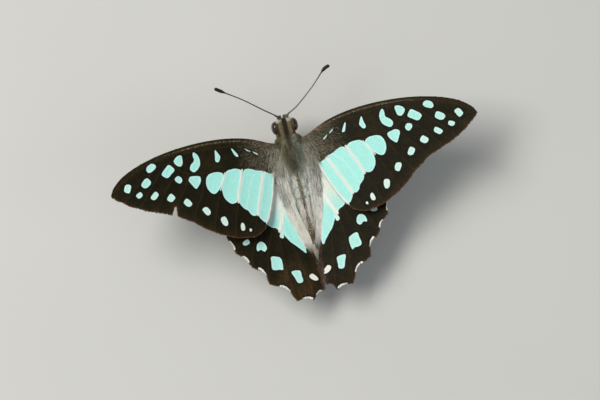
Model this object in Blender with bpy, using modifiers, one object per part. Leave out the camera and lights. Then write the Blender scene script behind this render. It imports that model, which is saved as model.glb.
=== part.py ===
"""Life-size model of a common jay, a tailless swallowtail butterfly, basking with its wings open.

Run with: blender --background --python part.py
The head points along -Y, the butterfly's own left is +X, and +Z is up.
The origin is on the floor, under the middle of the model.
"""

import math

import bmesh
import bpy
from mathutils import Vector
from mathutils.geometry import delaunay_2d_cdt

MM = 0.001
GAP = 0.32 * MM  # space left between neighbouring pieces

# The body's own zero is under the middle of the thorax, this far in front of the origin.
BODY_Y = -7.0 * MM

# Body sections: distance along the body, height of the centre, half width, half height.
HEAD_SECTIONS = [
    (-8.35, 8.25, 0.75, 0.70),
    (-7.95, 8.30, 1.55, 1.35),
    (-7.10, 8.35, 2.15, 1.85),
    (-6.20, 8.40, 2.20, 1.95),
    (-5.20, 8.35, 1.95, 1.72),
    (-4.72, 8.30, 1.85, 1.55),
]
THORAX_SECTIONS = [
    (-4.40, 8.20, 2.30, 1.80),
    (-3.60, 8.05, 2.80, 2.40),
    (-2.40, 7.90, 2.85, 2.80),
    (-0.80, 7.85, 2.85, 2.95),
    (0.90, 7.85, 2.65, 2.80),
    (2.10, 7.90, 2.20, 2.30),
    (2.55, 7.95, 1.80, 1.85),
]
ABDOMEN_SECTIONS = [
    (2.90, 7.85, 1.60, 1.60),
    (4.50, 7.75, 1.95, 2.00),
    (8.00, 7.60, 2.05, 2.15),
    (12.00, 7.35, 1.85, 2.00),
    (16.00, 7.05, 1.45, 1.65),
    (19.00, 6.80, 0.95, 1.15),
    (20.60, 6.65, 0.35, 0.45),
]
ABDOMEN_RINGS = 8  # ringed segments, each a little fuller than the joints between them
ABDOMEN_SWELL = 0.035
BODY_SIDES = 16

EYE_CENTRE = (2.02, -6.65, 8.55)
EYE_RADII = (0.85, 1.38, 1.55)

PALP_ROUTE = [(0.55, -8.60, 7.00), (0.62, -9.02, 7.55), (0.60, -9.02, 8.35)]
PALP_RADII = (0.34, 0.42, 0.26)

# The tongue is carried as a flat coil under the head.
TONGUE_CENTRE = (0.0, -7.35, 4.75)
TONGUE_OUTER = 1.12
TONGUE_INNER = 0.40
TONGUE_TURNS = 1.25
TONGUE_RADIUS = 0.25

ANTENNA_RADIUS = 0.25
CLUB_RADIUS = 0.46
CLUB_SHARE = 0.17  # the club is this share of the antenna's length
ANTENNA_ROUTES = {
    "left": [
        (1.2, -8.75, 9.9), (3.9, -10.8, 10.6), (7.4, -13.4, 11.8), (10.9, -15.6, 12.8), (12.7, -16.8, 13.2),
    ],
    "right": [
        (-1.2, -8.7, 9.9), (-3.5, -9.9, 10.4), (-7.4, -12.7, 12.0), (-10.5, -15.5, 12.9), (-12.0, -16.1, 13.2),
    ],
}

# Left legs, from the hip down to the toe; the right ones mirror them.
SOLE = 0.21  # height of the middle of a foot that lies on the floor
LEG_ROUTES = {
    "front": [(1.05, -3.3, 4.95), (1.55, -4.9, 5.0), (1.6, -6.5, 1.1), (1.6, -7.15, SOLE), (1.4, -9.2, SOLE)],
    "middle": [(1.25, -0.85, 4.6), (4.7, -0.9, 5.6), (6.7, 1.6, 1.1), (7.1, 2.2, SOLE), (8.6, 4.7, SOLE)],
    "hind": [(1.15, 1.6, 4.65), (4.0, 4.4, 5.5), (5.5, 9.6, 1.2), (5.7, 10.5, SOLE), (6.4, 14.4, SOLE)],
}
LEG_RADII = (0.36, 0.34, 0.28, 0.27, 0.26)

# Wings. Each outline is drawn flat: first the distance out from the hinge, then the distance back from it.
WING_THICKNESS = 0.5
WING_CAMBER = 0.002  # droop in mm for each squared mm out from the hinge

FOREWING_HINGE = (2.2, -1.5, 9.2)
FOREWING_DIHEDRAL = {"left": 17.7, "right": 16.3}
FOREWING_COSTA = [
    (1.00, -1.45), (5.95, -3.45), (10.8, -4.30), (16.0, -4.40), (21.1, -3.95),
    (25.8, -3.10), (30.6, -1.65), (34.4, 0.20), (36.75, 2.30), (37.35, 3.45),
]
FOREWING_INNER = [
    (1.05, 1.30), (2.45, 5.20), (3.60, 9.00), (4.95, 12.4), (6.30, 15.0), (7.80, 16.8), (10.2, 17.75),
]
FOREWING_TERMEN = [
    (10.2, 17.75), (13.5, 17.35), (16.2, 16.35), (19.15, 14.75), (22.4, 12.25),
    (26.0, 10.05), (29.7, 8.85), (33.3, 7.20), (36.1, 5.30), (37.30, 4.15),
]
FOREWING_WAVES = 8  # shallow scallops along the outer edge
FOREWING_WAVE_DEPTH = 0.10

HINDWING_HINGE = (2.0, 3.0, 8.4)
HINDWING_DIHEDRAL = {"left": 13.7, "right": 14.3}
HINDWING_PITCH = 3.4
HINDWING_YAW = -0.5
HINDWING_STAGGER = {"left": 0.5, "right": -0.5}
HINDWING_COSTA = [
    (0.95, -2.60), (3.60, -2.70), (6.60, -1.70), (9.60, 0.55), (12.9, 4.30), (15.0, 8.30), (15.50, 11.0),
]
HINDWING_INNER = {
    "left": [
        (0.85, 0.80), (0.32, 3.00), (0.24, 6.00), (0.04, 9.00), (-0.28, 12.0), (-0.68, 14.5), (-1.18, 16.5),
        (-1.75, 17.7),
    ],
    "right": [
        (0.85, 0.80), (0.38, 3.00), (0.40, 6.00), (0.26, 9.00), (0.00, 12.0), (-0.38, 15.0), (-0.82, 17.2),
        (-1.30, 18.6),
    ],
}
# Behind the body the left hindwing reaches just past the middle, up to the right one.
HINDWING_HEEL_OUT = {"left": -2.25, "right": -1.55}
HINDWING_HEEL_BACK = {"left": (19.0, 25.4), "right": (19.6, 25.4)}
# The scalloped edge runs from tooth to tooth, and each bay between two teeth has its own depth.
HINDWING_TEETH = [(0.10, 27.45), (3.90, 27.10), (8.95, 22.55), (11.8, 18.40), (14.6, 14.90), (15.58, 11.5)]
HINDWING_BAYS = [0.35, 0.50, 1.15, 1.05, 0.60, 0.30]

# A narrow tear in the outer edge of the left forewing: its place along the edge, and the way in to its end.
TEAR_SHARE = 0.541
TEAR_WIDTH = 0.95
TEAR_INWARD = (-0.60, -1.85)

COSTA_STEPS = 26
INNER_STEPS = 12
TERMEN_STEPS = 26
BAY_STEPS = 5
SHEET_GRID = 2.5  # spacing of the points inside a wing


def through(points, t):
    """Point at t, from 0 to 1, of a Catmull-Rom curve through the points."""
    knots = [Vector(p) for p in points]
    first = 2 * knots[0] - knots[1]
    last = 2 * knots[-1] - knots[-2]
    knots = [first, *knots, last]
    spans = len(points) - 1
    k = min(int(t * spans), spans - 1)
    s = t * spans - k
    a, b, c, d = knots[k : k + 4]
    return 0.5 * (2 * b + (c - a) * s + (2 * a - 5 * b + 4 * c - d) * s**2 + (3 * b - a - 3 * c + d) * s**3)


def spaced(points, steps):
    """Steps + 1 points at even distances along the curve through the points."""
    fine = [through(points, i / 400) for i in range(401)]
    runs = [0.0]
    for a, b in zip(fine, fine[1:]):
        runs.append(runs[-1] + (b - a).length)
    found = []
    k = 0
    for i in range(steps + 1):
        want = runs[-1] * i / steps
        while k < len(fine) - 2 and runs[k + 1] < want:
            k += 1
        share = (want - runs[k]) / (runs[k + 1] - runs[k])
        found.append(fine[k].lerp(fine[k + 1], min(share, 1.0)))
    return found


def material(name, colour, roughness):
    """Principled material with one colour."""
    made = bpy.data.materials.new(name)
    made.use_nodes = True
    shader = made.node_tree.nodes["Principled BSDF"]
    shader.inputs["Base Color"].default_value = (*colour, 1.0)
    shader.inputs["Roughness"].default_value = roughness
    return made


def add_object(name, mesh, finish, parent, collection):
    """Object for a mesh, with its material, in the model's collection."""
    thing = bpy.data.objects.new(name, mesh)
    thing.parent = parent
    mesh.materials.append(finish)
    mesh.shade_smooth()
    mesh.set_sharp_from_angle(angle=math.radians(50))
    collection.objects.link(thing)
    return thing


def loft(name, rings):
    """Closed mesh through rings of equal count, with a flat cap at each end."""
    shape = bmesh.new()
    rows = [[shape.verts.new(p) for p in ring] for ring in rings]
    for row, after in zip(rows, rows[1:]):
        for i in range(len(row)):
            j = (i + 1) % len(row)
            shape.faces.new((row[i], row[j], after[j], after[i]))
    shape.faces.new(rows[0])
    shape.faces.new(rows[-1])
    bmesh.ops.recalc_face_normals(shape, faces=shape.faces)
    mesh = bpy.data.meshes.new(name)
    shape.to_mesh(mesh)
    shape.free()
    return mesh


def body_ring(section):
    """Ring of points round one section of the body, in metres."""
    along, height, half_width, half_height = section
    ring = []
    for i in range(BODY_SIDES):
        turn = 2 * math.pi * (i + 0.5) / BODY_SIDES
        x = half_width * math.cos(turn)
        z = height + half_height * math.sin(turn)
        ring.append(Vector((x, along, z)) * MM)
    return ring


def body_piece(name, sections, steps, swell=0.0, swells=0):
    """Head, thorax or abdomen, as a loft through its sections."""
    rings = []
    for i in range(steps + 1):
        t = i / steps
        along, height, half_width, half_height = through(sections, t)
        fuller = 1 + swell * math.cos(2 * math.pi * swells * t + math.pi) if swells else 1
        rings.append(body_ring((along, height, half_width * fuller, half_height * fuller)))
    return loft(name, rings)


def ball(name, radii, grow=0.0):
    """Ellipsoid mesh centred on its own origin, in metres, grown by the given amount."""
    shape = bmesh.new()
    bmesh.ops.create_uvsphere(shape, u_segments=16, v_segments=10, radius=1.0)
    sizes = [r * MM + grow for r in radii]
    bmesh.ops.scale(shape, vec=sizes, verts=shape.verts)
    mesh = bpy.data.meshes.new(name)
    shape.to_mesh(mesh)
    shape.free()
    return mesh


def tube(name, route, radii, steps, sides=2):
    """Round tapering tube through the route: a curve turned into a closed mesh."""
    curve = bpy.data.curves.new(name, "CURVE")
    curve.dimensions = "3D"
    curve.bevel_depth = MM
    curve.bevel_resolution = sides
    curve.use_fill_caps = True
    spline = curve.splines.new("POLY")
    spline.points.add(steps)
    for i, place in enumerate(spaced(route, steps)):
        t = i / steps
        spline.points[i].co = (*(place * MM), 1.0)
        spline.points[i].radius = through([(r, 0.0) for r in radii], t).x
    drawn = bpy.data.objects.new(name + "_curve", curve)
    bpy.context.scene.collection.objects.link(drawn)
    bpy.context.view_layer.update()
    mesh = bpy.data.meshes.new_from_object(drawn.evaluated_get(bpy.context.evaluated_depsgraph_get()))
    bpy.data.objects.remove(drawn)
    bpy.data.curves.remove(curve)
    mesh.name = name
    shape = bmesh.new()
    shape.from_mesh(mesh)
    bmesh.ops.remove_doubles(shape, verts=shape.verts, dist=0.001 * MM)
    bmesh.ops.recalc_face_normals(shape, faces=shape.faces)
    shape.to_mesh(mesh)
    shape.free()
    mesh.materials.clear()
    return mesh


def cut_flat_on_floor(mesh):
    """Cuts off what is below the floor, which leaves a small flat sole."""
    shape = bmesh.new()
    shape.from_mesh(mesh)
    everything = shape.verts[:] + shape.edges[:] + shape.faces[:]
    cut = bmesh.ops.bisect_plane(
        shape, geom=everything, plane_co=(0, 0, 0), plane_no=(0, 0, 1), clear_inner=True, dist=1e-7
    )
    rim = [e for e in cut["geom_cut"] if isinstance(e, bmesh.types.BMEdge)]
    bmesh.ops.edgeloop_fill(shape, edges=rim)
    bmesh.ops.recalc_face_normals(shape, faces=shape.faces)
    shape.to_mesh(mesh)
    shape.free()


def scallops(teeth, bays, steps):
    """Points of a scalloped edge: from tooth to tooth, with a smooth bay between each two."""
    points = []
    for (a, b), depth in zip(zip(teeth, teeth[1:]), bays):
        a, b = Vector(a), Vector(b)
        inward = Vector((-(b - a).y, (b - a).x)).normalized()
        for i in range(steps):
            t = i / steps
            dip = depth * (1 - math.cos(2 * math.pi * t)) / 2
            points.append(a.lerp(b, t) - inward * dip)
    points.append(Vector(teeth[-1]))
    return points


def forewing_outline(name):
    """Outline of a flat forewing: out along the front, in along the outer edge, and back to the root."""
    termen = spaced(FOREWING_TERMEN, TERMEN_STEPS)
    outer = []
    for i, place in enumerate(termen):
        t = i / TERMEN_STEPS
        wave = FOREWING_WAVE_DEPTH * (1 - math.cos(2 * math.pi * FOREWING_WAVES * t)) / 2
        outer.append(place + Vector((-0.5, -0.85)) * wave)
    if name == "left":
        mouth = through(FOREWING_TERMEN, TEAR_SHARE)
        along = Vector((-TEAR_INWARD[1], TEAR_INWARD[0])).normalized() * TEAR_WIDTH / 2
        inside = [p for p in outer if p.x < mouth.x - TEAR_WIDTH]
        outside = [p for p in outer if p.x > mouth.x + TEAR_WIDTH]
        outer = inside + [mouth - along, mouth + Vector(TEAR_INWARD), mouth + along] + outside
    rear = spaced(FOREWING_INNER, INNER_STEPS)[:-1] + outer
    return spaced(FOREWING_COSTA, COSTA_STEPS) + rear[::-1]


def hindwing_outline(name):
    """Outline of a flat hindwing, in the same order."""
    heel = [(HINDWING_HEEL_OUT[name], back) for back in HINDWING_HEEL_BACK[name]]
    rear = spaced(HINDWING_INNER[name] + heel, INNER_STEPS)[:-1]
    rear += scallops(heel[-1:] + HINDWING_TEETH, HINDWING_BAYS, BAY_STEPS)
    return spaced(HINDWING_COSTA, COSTA_STEPS // 2) + rear[::-1]


def grid_over(outline):
    """Evenly spaced points over the outline's box, at least half a space away from the outline itself."""
    low = [math.floor(min(values) / SHEET_GRID) for values in zip(*outline)]
    high = [math.ceil(max(values) / SHEET_GRID) for values in zip(*outline)]
    cells = [(i, j) for i in range(low[0], high[0]) for j in range(low[1], high[1])]
    points = [Vector(cell) * SHEET_GRID for cell in cells]
    return [p for p in points if min((p - q).length for q in outline) > SHEET_GRID / 2]


def wing_sheet(name, outline, side):
    """Open cambered sheet that fills the outline, on its own hinge, in metres."""
    rim = [(i, (i + 1) % len(outline)) for i in range(len(outline))]
    places, _, faces, *_ = delaunay_2d_cdt(outline + grid_over(outline), rim, [], 1, 1e-6)
    shape = bmesh.new()
    corners = [shape.verts.new(Vector((side * p.x, p.y, -WING_CAMBER * p.x**2)) * MM) for p in places]
    for face in faces:
        shape.faces.new([corners[i] for i in face])
    bmesh.ops.recalc_face_normals(shape, faces=shape.faces)
    mesh = bpy.data.meshes.new(name)
    shape.to_mesh(mesh)
    shape.free()
    return mesh


def thicken(wing):
    """Gives a wing its thickness, half above and half below the sheet."""
    solid = wing.modifiers.new("thickness", "SOLIDIFY")
    solid.thickness = WING_THICKNESS * MM
    solid.offset = 0.0


def make_wings(model, parent, upper_finish, lower_finish):
    """Two forewings above two hindwings, each on its hinge."""
    for name, side in (("left", 1), ("right", -1)):
        label = "forewing_" + name
        x, y, z = FOREWING_HINGE
        fore = add_object(label, wing_sheet(label, forewing_outline(name), side), upper_finish, parent, model)
        fore.location = Vector((side * x, y, z)) * MM
        fore.rotation_euler = (0, math.radians(-side * FOREWING_DIHEDRAL[name]), 0)
        thicken(fore)

        label = "hindwing_" + name
        x, y, z = HINDWING_HINGE
        hind = add_object(label, wing_sheet(label, hindwing_outline(name), side), lower_finish, parent, model)
        hind.location = Vector((side * x, y + HINDWING_STAGGER[name], z)) * MM
        hind.rotation_euler = (
            math.radians(-HINDWING_PITCH),
            math.radians(-side * HINDWING_DIHEDRAL[name]),
            math.radians(HINDWING_YAW),
        )
        thicken(hind)


def make_head(model, cutters, parent, skin, gloss):
    """Head with a socket for each eye, and the eyes in them."""
    head = add_object("head", body_piece("head", HEAD_SECTIONS, 10), skin, parent, model)
    for name, side in (("left", 1), ("right", -1)):
        centre = Vector((side * EYE_CENTRE[0], EYE_CENTRE[1], EYE_CENTRE[2])) * MM
        eye = add_object("eye_" + name, ball("eye_" + name, EYE_RADII), gloss, parent, model)
        eye.location = centre
        socket = bpy.data.objects.new("socket_" + name, ball("socket_" + name, EYE_RADII, GAP))
        socket.location = centre
        socket.parent = parent
        socket.hide_render = True
        socket.display_type = "WIRE"
        cutters.objects.link(socket)
        cut = head.modifiers.new("socket_" + name, "BOOLEAN")
        cut.operation = "DIFFERENCE"
        cut.solver = "EXACT"
        cut.object = socket


def make_mouthparts(model, parent, skin, dark):
    """The two palps in front of the head, and the coiled tongue below it."""
    for name, side in (("left", 1), ("right", -1)):
        route = [(side * x, y, z) for x, y, z in PALP_ROUTE]
        add_object("palp_" + name, tube("palp_" + name, route, PALP_RADII, 4), skin, parent, model)
    x, y, z = TONGUE_CENTRE
    coil = []
    for i in range(25):
        t = i / 24
        turn = 2 * math.pi * TONGUE_TURNS * t
        reach = TONGUE_OUTER + (TONGUE_INNER - TONGUE_OUTER) * t
        coil.append((x, y + reach * math.sin(turn), z + reach * math.cos(turn)))
    add_object("tongue", tube("tongue", coil, (TONGUE_RADIUS, TONGUE_RADIUS), 18), dark, parent, model)


def make_antennae(model, parent, dark):
    """Thin feelers that end in a club."""
    for name, route in ANTENNA_ROUTES.items():
        shaft = int(1 / CLUB_SHARE)
        radii = [ANTENNA_RADIUS] * shaft + [CLUB_RADIUS, ANTENNA_RADIUS]
        add_object("antenna_" + name, tube("antenna_" + name, route, radii, 13), dark, parent, model)


def make_legs(model, parent, skin):
    """Six legs, each with its last joints lying flat on the floor."""
    for pair, route in LEG_ROUTES.items():
        for name, side in (("left", 1), ("right", -1)):
            label = "leg_" + pair + "_" + name
            mesh = tube(label, [(side * x, y, z) for x, y, z in route], LEG_RADII, 13)
            cut_flat_on_floor(mesh)
            add_object(label, mesh, skin, parent, model)


def main():
    for thing in list(bpy.data.objects):
        bpy.data.objects.remove(thing)
    model = bpy.data.collections.new("swallowtail_butterfly")
    cutters = bpy.data.collections.new("cutters")
    bpy.context.scene.collection.children.link(model)
    bpy.context.scene.collection.children.link(cutters)

    body = bpy.data.objects.new("body_frame", None)
    body.location = (0, BODY_Y, 0)
    model.objects.link(body)

    grey_hair = material("grey_hair", (0.20, 0.19, 0.15), 0.8)
    black_gloss = material("black_gloss", (0.012, 0.009, 0.007), 0.12)
    dark_brown = material("dark_brown", (0.020, 0.014, 0.010), 0.5)
    wing_upper = material("forewing_brown", (0.030, 0.020, 0.012), 0.6)
    wing_lower = material("hindwing_brown", (0.025, 0.017, 0.010), 0.6)

    make_head(model, cutters, body, grey_hair, black_gloss)
    make_mouthparts(model, body, grey_hair, dark_brown)
    add_object("thorax", body_piece("thorax", THORAX_SECTIONS, 10), grey_hair, body, model)
    abdomen = body_piece("abdomen", ABDOMEN_SECTIONS, 4 * ABDOMEN_RINGS, ABDOMEN_SWELL, ABDOMEN_RINGS)
    add_object("abdomen", abdomen, grey_hair, body, model)
    make_antennae(model, body, dark_brown)
    make_legs(model, body, dark_brown)
    make_wings(model, body, wing_upper, wing_lower)


main()
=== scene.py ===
"""Looks of a swallowtail butterfly, a still life-size model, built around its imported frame.

Lengths are millimetres unless a name says otherwise, and become metres when a mesh is made. Each wing has
a chart: u outward from its hinge, v backward. Skin, scales and hair all take their markings from the same
fields over those charts, or from the same zones of the body.
"""

import math

import bpy
import numpy as np
from mathutils import Euler, Matrix, Vector
from mathutils.geometry import delaunay_2d_cdt


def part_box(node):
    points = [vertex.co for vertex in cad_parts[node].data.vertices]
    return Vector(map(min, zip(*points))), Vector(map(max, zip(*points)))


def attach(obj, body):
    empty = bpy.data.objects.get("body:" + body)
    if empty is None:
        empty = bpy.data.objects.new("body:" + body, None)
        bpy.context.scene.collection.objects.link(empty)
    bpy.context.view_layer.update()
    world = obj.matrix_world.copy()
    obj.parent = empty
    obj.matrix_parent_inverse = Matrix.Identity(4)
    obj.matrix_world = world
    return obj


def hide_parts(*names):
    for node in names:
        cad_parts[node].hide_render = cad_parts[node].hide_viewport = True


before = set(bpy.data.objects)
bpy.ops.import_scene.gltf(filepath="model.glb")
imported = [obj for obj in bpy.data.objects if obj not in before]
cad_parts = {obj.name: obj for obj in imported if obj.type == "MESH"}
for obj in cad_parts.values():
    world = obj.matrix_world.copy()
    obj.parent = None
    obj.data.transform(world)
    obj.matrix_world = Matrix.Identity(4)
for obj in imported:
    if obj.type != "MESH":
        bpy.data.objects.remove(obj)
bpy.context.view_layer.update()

MM = 0.001
BODY_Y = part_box("thorax")[0].y / MM + 4.40  # the thorax begins 4.40 in front of the body's own zero
SIDES = {1: "left", -1: "right"}  # the butterfly's own sides, by the sign of x
TUFT = 0.003  # side of one tuft's patch on a coat's map
FAR = 9.0  # stands for any distance that is too long to matter

# Wings: hinge, and turns in degrees, as in the solids
CAMBER = 0.002
FORE_HINGE = (2.2, -1.5, 9.2)
FORE_DIHEDRAL = {1: 17.7, -1: 16.3}
HIND_HINGE = (2.0, 3.0, 8.4)
HIND_DIHEDRAL = {1: 13.7, -1: 14.3}
HIND_PITCH = 3.4
HIND_YAW = -0.5
HIND_STAGGER = 0.5
FIELD_STEP = 0.08  # spacing of the fields over a wing's chart
FRINGE = 0.26  # how far the sheet is drawn in from the outline, to leave room for the fringe


# ---------------------------------------------------------------- curves and distances


def curve(points, steps=8, closed=False):
    """Smooth line through the points, as an array."""
    knots = np.array(points, float)
    if closed:
        knots = np.vstack([knots[-1:], knots, knots[:2]])
    else:
        knots = np.vstack([2 * knots[:1] - knots[1:2], knots, 2 * knots[-1:] - knots[-2:-1]])
    t = (np.arange(steps) / steps)[:, None]
    rows = []
    for a, b, c, d in zip(knots, knots[1:], knots[2:], knots[3:]):
        curved = (2 * a - 5 * b + 4 * c - d) * t**2 + (3 * b - a - 3 * c + d) * t**3
        rows.append(0.5 * (2 * b + (c - a) * t + curved))
    if not closed:
        rows.append(knots[-2:-1])
    return np.vstack(rows)


def spaced(line, step):
    """Points at even distances along a line."""
    runs = np.concatenate([[0], np.cumsum(np.linalg.norm(np.diff(line, axis=0), axis=1))])
    wanted = np.linspace(0, runs[-1], max(2, int(round(runs[-1] / step)) + 1))
    return np.stack([np.interp(wanted, runs, line[:, k]) for k in range(line.shape[1])], axis=1)


def to_piece(points, a, b):
    """Distance from each point to the straight piece from a to b."""
    along = b - a
    share = np.clip(((points - a) @ along) / max(along @ along, 1e-12), 0, 1)
    return np.linalg.norm(points - a - share[:, None] * along, axis=1)


def to_line(points, line):
    """Distance from each point to a line."""
    found = np.full(len(points), np.inf)
    for a, b in zip(line, line[1:]):
        found = np.minimum(found, to_piece(points, a, b))
    return found


def signed(points, loop, pad=2.0):
    """Distance from each point to a closed outline, negative inside it, measured up to pad from its box."""
    found = np.full(len(points), FAR)
    near = np.all((points > loop.min(0) - pad) & (points < loop.max(0) + pad), axis=1)
    part = points[near]
    reach = np.full(len(part), FAR)
    inside = np.zeros(len(part), bool)
    for a, b in zip(loop, np.roll(loop, -1, axis=0)):
        reach = np.minimum(reach, to_piece(part, a, b))
        if a[1] != b[1]:
            crosses = (a[1] > part[:, 1]) != (b[1] > part[:, 1])
            edge = a[0] + (part[:, 1] - a[1]) / (b[1] - a[1]) * (b[0] - a[0])
            inside ^= crosses & (part[:, 0] < edge)
    found[near] = np.where(inside, -reach, reach)
    return found


def smooth(value, low, high):
    """0 below low, 1 above high, and a soft step between; low may be the larger."""
    t = np.clip((value - low) / (high - low), 0, 1)
    return t * t * (3 - 2 * t)


def blend(first, second, share):
    """Colours or directions between two, by shares from 0 to 1."""
    return np.array(first) * (1 - share) + np.array(second) * share


def unit(vectors):
    """Vectors made one long."""
    return vectors / np.maximum(np.linalg.norm(vectors, axis=-1, keepdims=True), 1e-9)


def mirrored(points, side):
    """Points given for the left side, as an array on the wanted side."""
    return np.array(points, float) * [side, 1, 1]


def columns(*values):
    """Numbers and arrays of numbers side by side, as the rows of one array."""
    return np.stack(np.broadcast_arrays(*values), axis=-1)


# ---------------------------------------------------------------- markings on the wings' charts


def spot(white, u, v, major, minor, turn, square=2.6):
    """Rounded marking: its whiteness, centre, half sizes, turn in degrees and squareness."""
    t = 2 * np.pi * np.arange(20) / 20
    x = major * np.sign(np.cos(t)) * np.abs(np.cos(t)) ** (2 / square)
    y = minor * np.sign(np.sin(t)) * np.abs(np.sin(t)) ** (2 / square)
    wobble = 1 + 0.05 * np.sin(3 * t + 7 * u + 3 * v)
    c, s = math.cos(math.radians(turn)), math.sin(math.radians(turn))
    return columns(u + (x * c - y * s) * wobble, v + (x * s + y * c) * wobble), white


def shape(white, *points):
    """Marking with a smooth outline through the points, and its whiteness."""
    return curve(points, 5, closed=True), white


# Each marking of the upper side begins with its whiteness: 0 for aqua, 1 for white
FORE_SPOTS = [
    spot(0.30, 33.80, 2.78, 0.92, 0.65, 66, 3.4),
    spot(0.30, 31.75, 4.60, 0.68, 0.52, 30, 3.0),
    spot(0.30, 28.70, 5.33, 0.94, 0.58, 43, 3.0),
    spot(0.34, 25.45, 6.35, 0.83, 0.70, 44, 3.2),
    spot(0.34, 22.25, 7.98, 0.88, 0.68, -56, 2.8),
    spot(0.42, 18.80, 10.40, 0.94, 0.65, -63, 2.8),
    spot(0.60, 15.62, 13.18, 1.03, 0.65, -78, 2.5),
    spot(0.70, 12.08, 15.03, 0.85, 0.46, 82, 2.4),
    spot(0.80, 10.60, 15.95, 0.33, 0.25, 80),
    spot(0.12, 28.15, -0.66, 1.12, 0.74, 34, 2.4),
    spot(0.12, 29.85, 2.38, 1.08, 0.78, 39, 2.6),
    shape(
        0.05, (24.3, -0.66), (25.2, -0.1), (26.2, 0.9), (26.1, 1.45), (25.2, 2.0), (24.2, 1.3),
        (23.4, 0.5),
    ),
    shape(
        0.12, (21.3, -2.2), (22.1, -2.2), (23.1, -1.4), (22.9, -0.5), (22.05, 0.05), (21.45, -0.4),
        (21.25, -1.3),
    ),
    spot(0.15, 23.02, 2.78, 0.78, 0.70, -45, 2.3),
    shape(
        0.05, (18.6, -2.5), (17.85, -1.7), (17.65, -0.4), (18.1, 0.8), (19.35, 1.72), (20.1, 1.1),
        (19.8, 0.15), (18.85, -0.75), (18.9, -1.85),
    ),
    shape(
        0.05, (18.42, 2.9), (19.2, 2.62), (20.4, 2.55), (21.0, 3.3), (20.5, 4.3), (19.85, 5.3),
        (19.0, 4.6), (18.5, 3.8),
    ),
    shape(0.10, (14.0, -2.25), (13.4, -1.3), (13.2, -0.6), (13.75, 0.35), (14.4, 0.15), (14.2, -1.1)),
    shape(0.05, (10.5, -2.05), (9.95, -1.5), (9.3, -0.3), (9.7, -0.1), (10.1, -0.65)),
    shape(0.05, (7.8, -1.75), (7.3, -1.35), (6.6, -0.85), (6.65, -0.7), (7.3, -1.1)),
    shape(0.05, (6.2, -0.75), (5.6, -0.4), (5.05, 0.05), (5.15, 0.2), (5.8, -0.25)),
    shape(
        0.0, (13.5, 3.15), (14.2, 2.6), (15.5, 2.52), (16.75, 2.9), (17.4, 4.0), (17.5, 5.4), (17.05, 6.5),
        (16.3, 7.05), (15.3, 6.5), (14.4, 5.4), (13.75, 4.2),
    ),
    shape(
        0.0, (9.55, 3.1), (10.35, 2.5), (11.7, 2.45), (12.7, 2.72), (13.35, 3.65), (14.1, 5.1),
        (14.55, 6.6), (14.4, 8.3), (13.5, 9.55), (12.6, 9.75), (11.85, 9.3), (11.35, 7.8), (10.75, 6.2),
        (10.0, 4.4),
    ),
    shape(
        0.0, (4.95, 4.0), (5.6, 3.68), (6.35, 3.45), (7.5, 2.98), (8.4, 2.84), (9.1, 3.3), (9.85, 5.0),
        (10.6, 6.9), (11.35, 8.9), (11.5, 10.0), (10.9, 11.1), (10.1, 11.75), (9.7, 12.6), (9.05, 13.1),
        (8.5, 12.85), (7.75, 11.0), (6.75, 8.5), (5.7, 5.9),
    ),
    shape(
        0.0, (4.6, 4.25), (3.9, 4.42), (3.2, 4.65), (2.65, 4.95), (2.55, 6.4), (3.1, 9.1), (4.2, 11.6),
        (5.5, 13.6), (6.5, 14.85), (7.2, 14.7), (7.8, 14.0), (8.1, 13.1), (7.4, 11.2), (6.4, 8.7),
        (5.3, 5.9),
    ),
]
HIND_SPOTS = [
    spot(0.35, 11.78, 13.0, 0.80, 0.52, 20, 2.4),
    shape(
        0.15, (8.75, 13.3), (9.6, 13.8), (9.9, 14.7), (9.75, 15.2), (9.05, 15.0), (8.35, 15.5),
        (7.75, 14.9), (8.0, 13.8),
    ),
    shape(
        0.10, (7.2, 16.85), (7.45, 17.9), (7.6, 19.3), (7.1, 19.75), (6.0, 19.8), (5.4, 20.0), (5.2, 18.5),
        (5.5, 17.3),
    ),
    shape(
        0.15, (3.75, 20.75), (2.7, 20.6), (1.85, 20.85), (1.75, 22.0), (1.72, 23.1), (2.75, 23.3),
        (3.3, 22.0),
    ),
    shape(1.0, (0.2, 22.3), (-0.45, 21.85), (-1.25, 22.45), (-1.65, 23.3), (-0.95, 23.4), (-0.15, 22.95)),
    shape(
        0.05, (1.0, 0.5), (5.2, 1.4), (8.4, 5.0), (8.6, 7.6), (7.0, 9.4), (5.9, 10.65), (4.95, 11.0),
        (4.2, 11.75), (3.9, 11.2), (2.9, 8.4), (1.9, 5.6),
    ),
    shape(0.45, (3.75, 12.0), (4.35, 12.45), (4.45, 13.1), (3.9, 13.4), (3.6, 13.0)),
    shape(
        0.0, (1.7, 4.6), (2.2, 6.3), (2.95, 8.4), (3.85, 10.8), (3.65, 12.3), (2.6, 14.3), (1.55, 15.4),
        (0.5, 16.6), (-0.25, 17.35), (-0.4, 16.4), (0.1, 14.4), (0.7, 12.2), (1.0, 9.4), (1.0, 6.4),
    ),
    shape(
        1.0, (2.6, 3.4), (2.2, 6.0), (1.85, 8.2), (1.5, 10.2), (0.95, 12.4), (0.3, 14.4), (-0.5, 16.3),
        (-2.6, 16.6), (-1.6, 12.0), (-0.8, 8.0), (-0.6, 4.0), (0.6, 2.6),
    ),
]
# White crescents in the bays of the hindwing's edge: three points and a half width
LUNULES = [
    (((15.25, 12.45), (14.92, 13.1), (14.75, 13.85)), 0.26),
    (((13.05, 16.05), (12.6, 16.45), (12.35, 17.0)), 0.28),
    (((10.3, 18.9), (9.75, 19.5), (9.5, 20.35)), 0.27),
    (((6.65, 23.4), (5.75, 23.85), (5.2, 24.75)), 0.27),
    (((2.35, 26.9), (1.4, 26.8), (0.65, 27.1)), 0.25),
    (((-0.85, 26.5), (-1.35, 26.0), (-2.0, 26.0)), 0.30),
]
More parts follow.
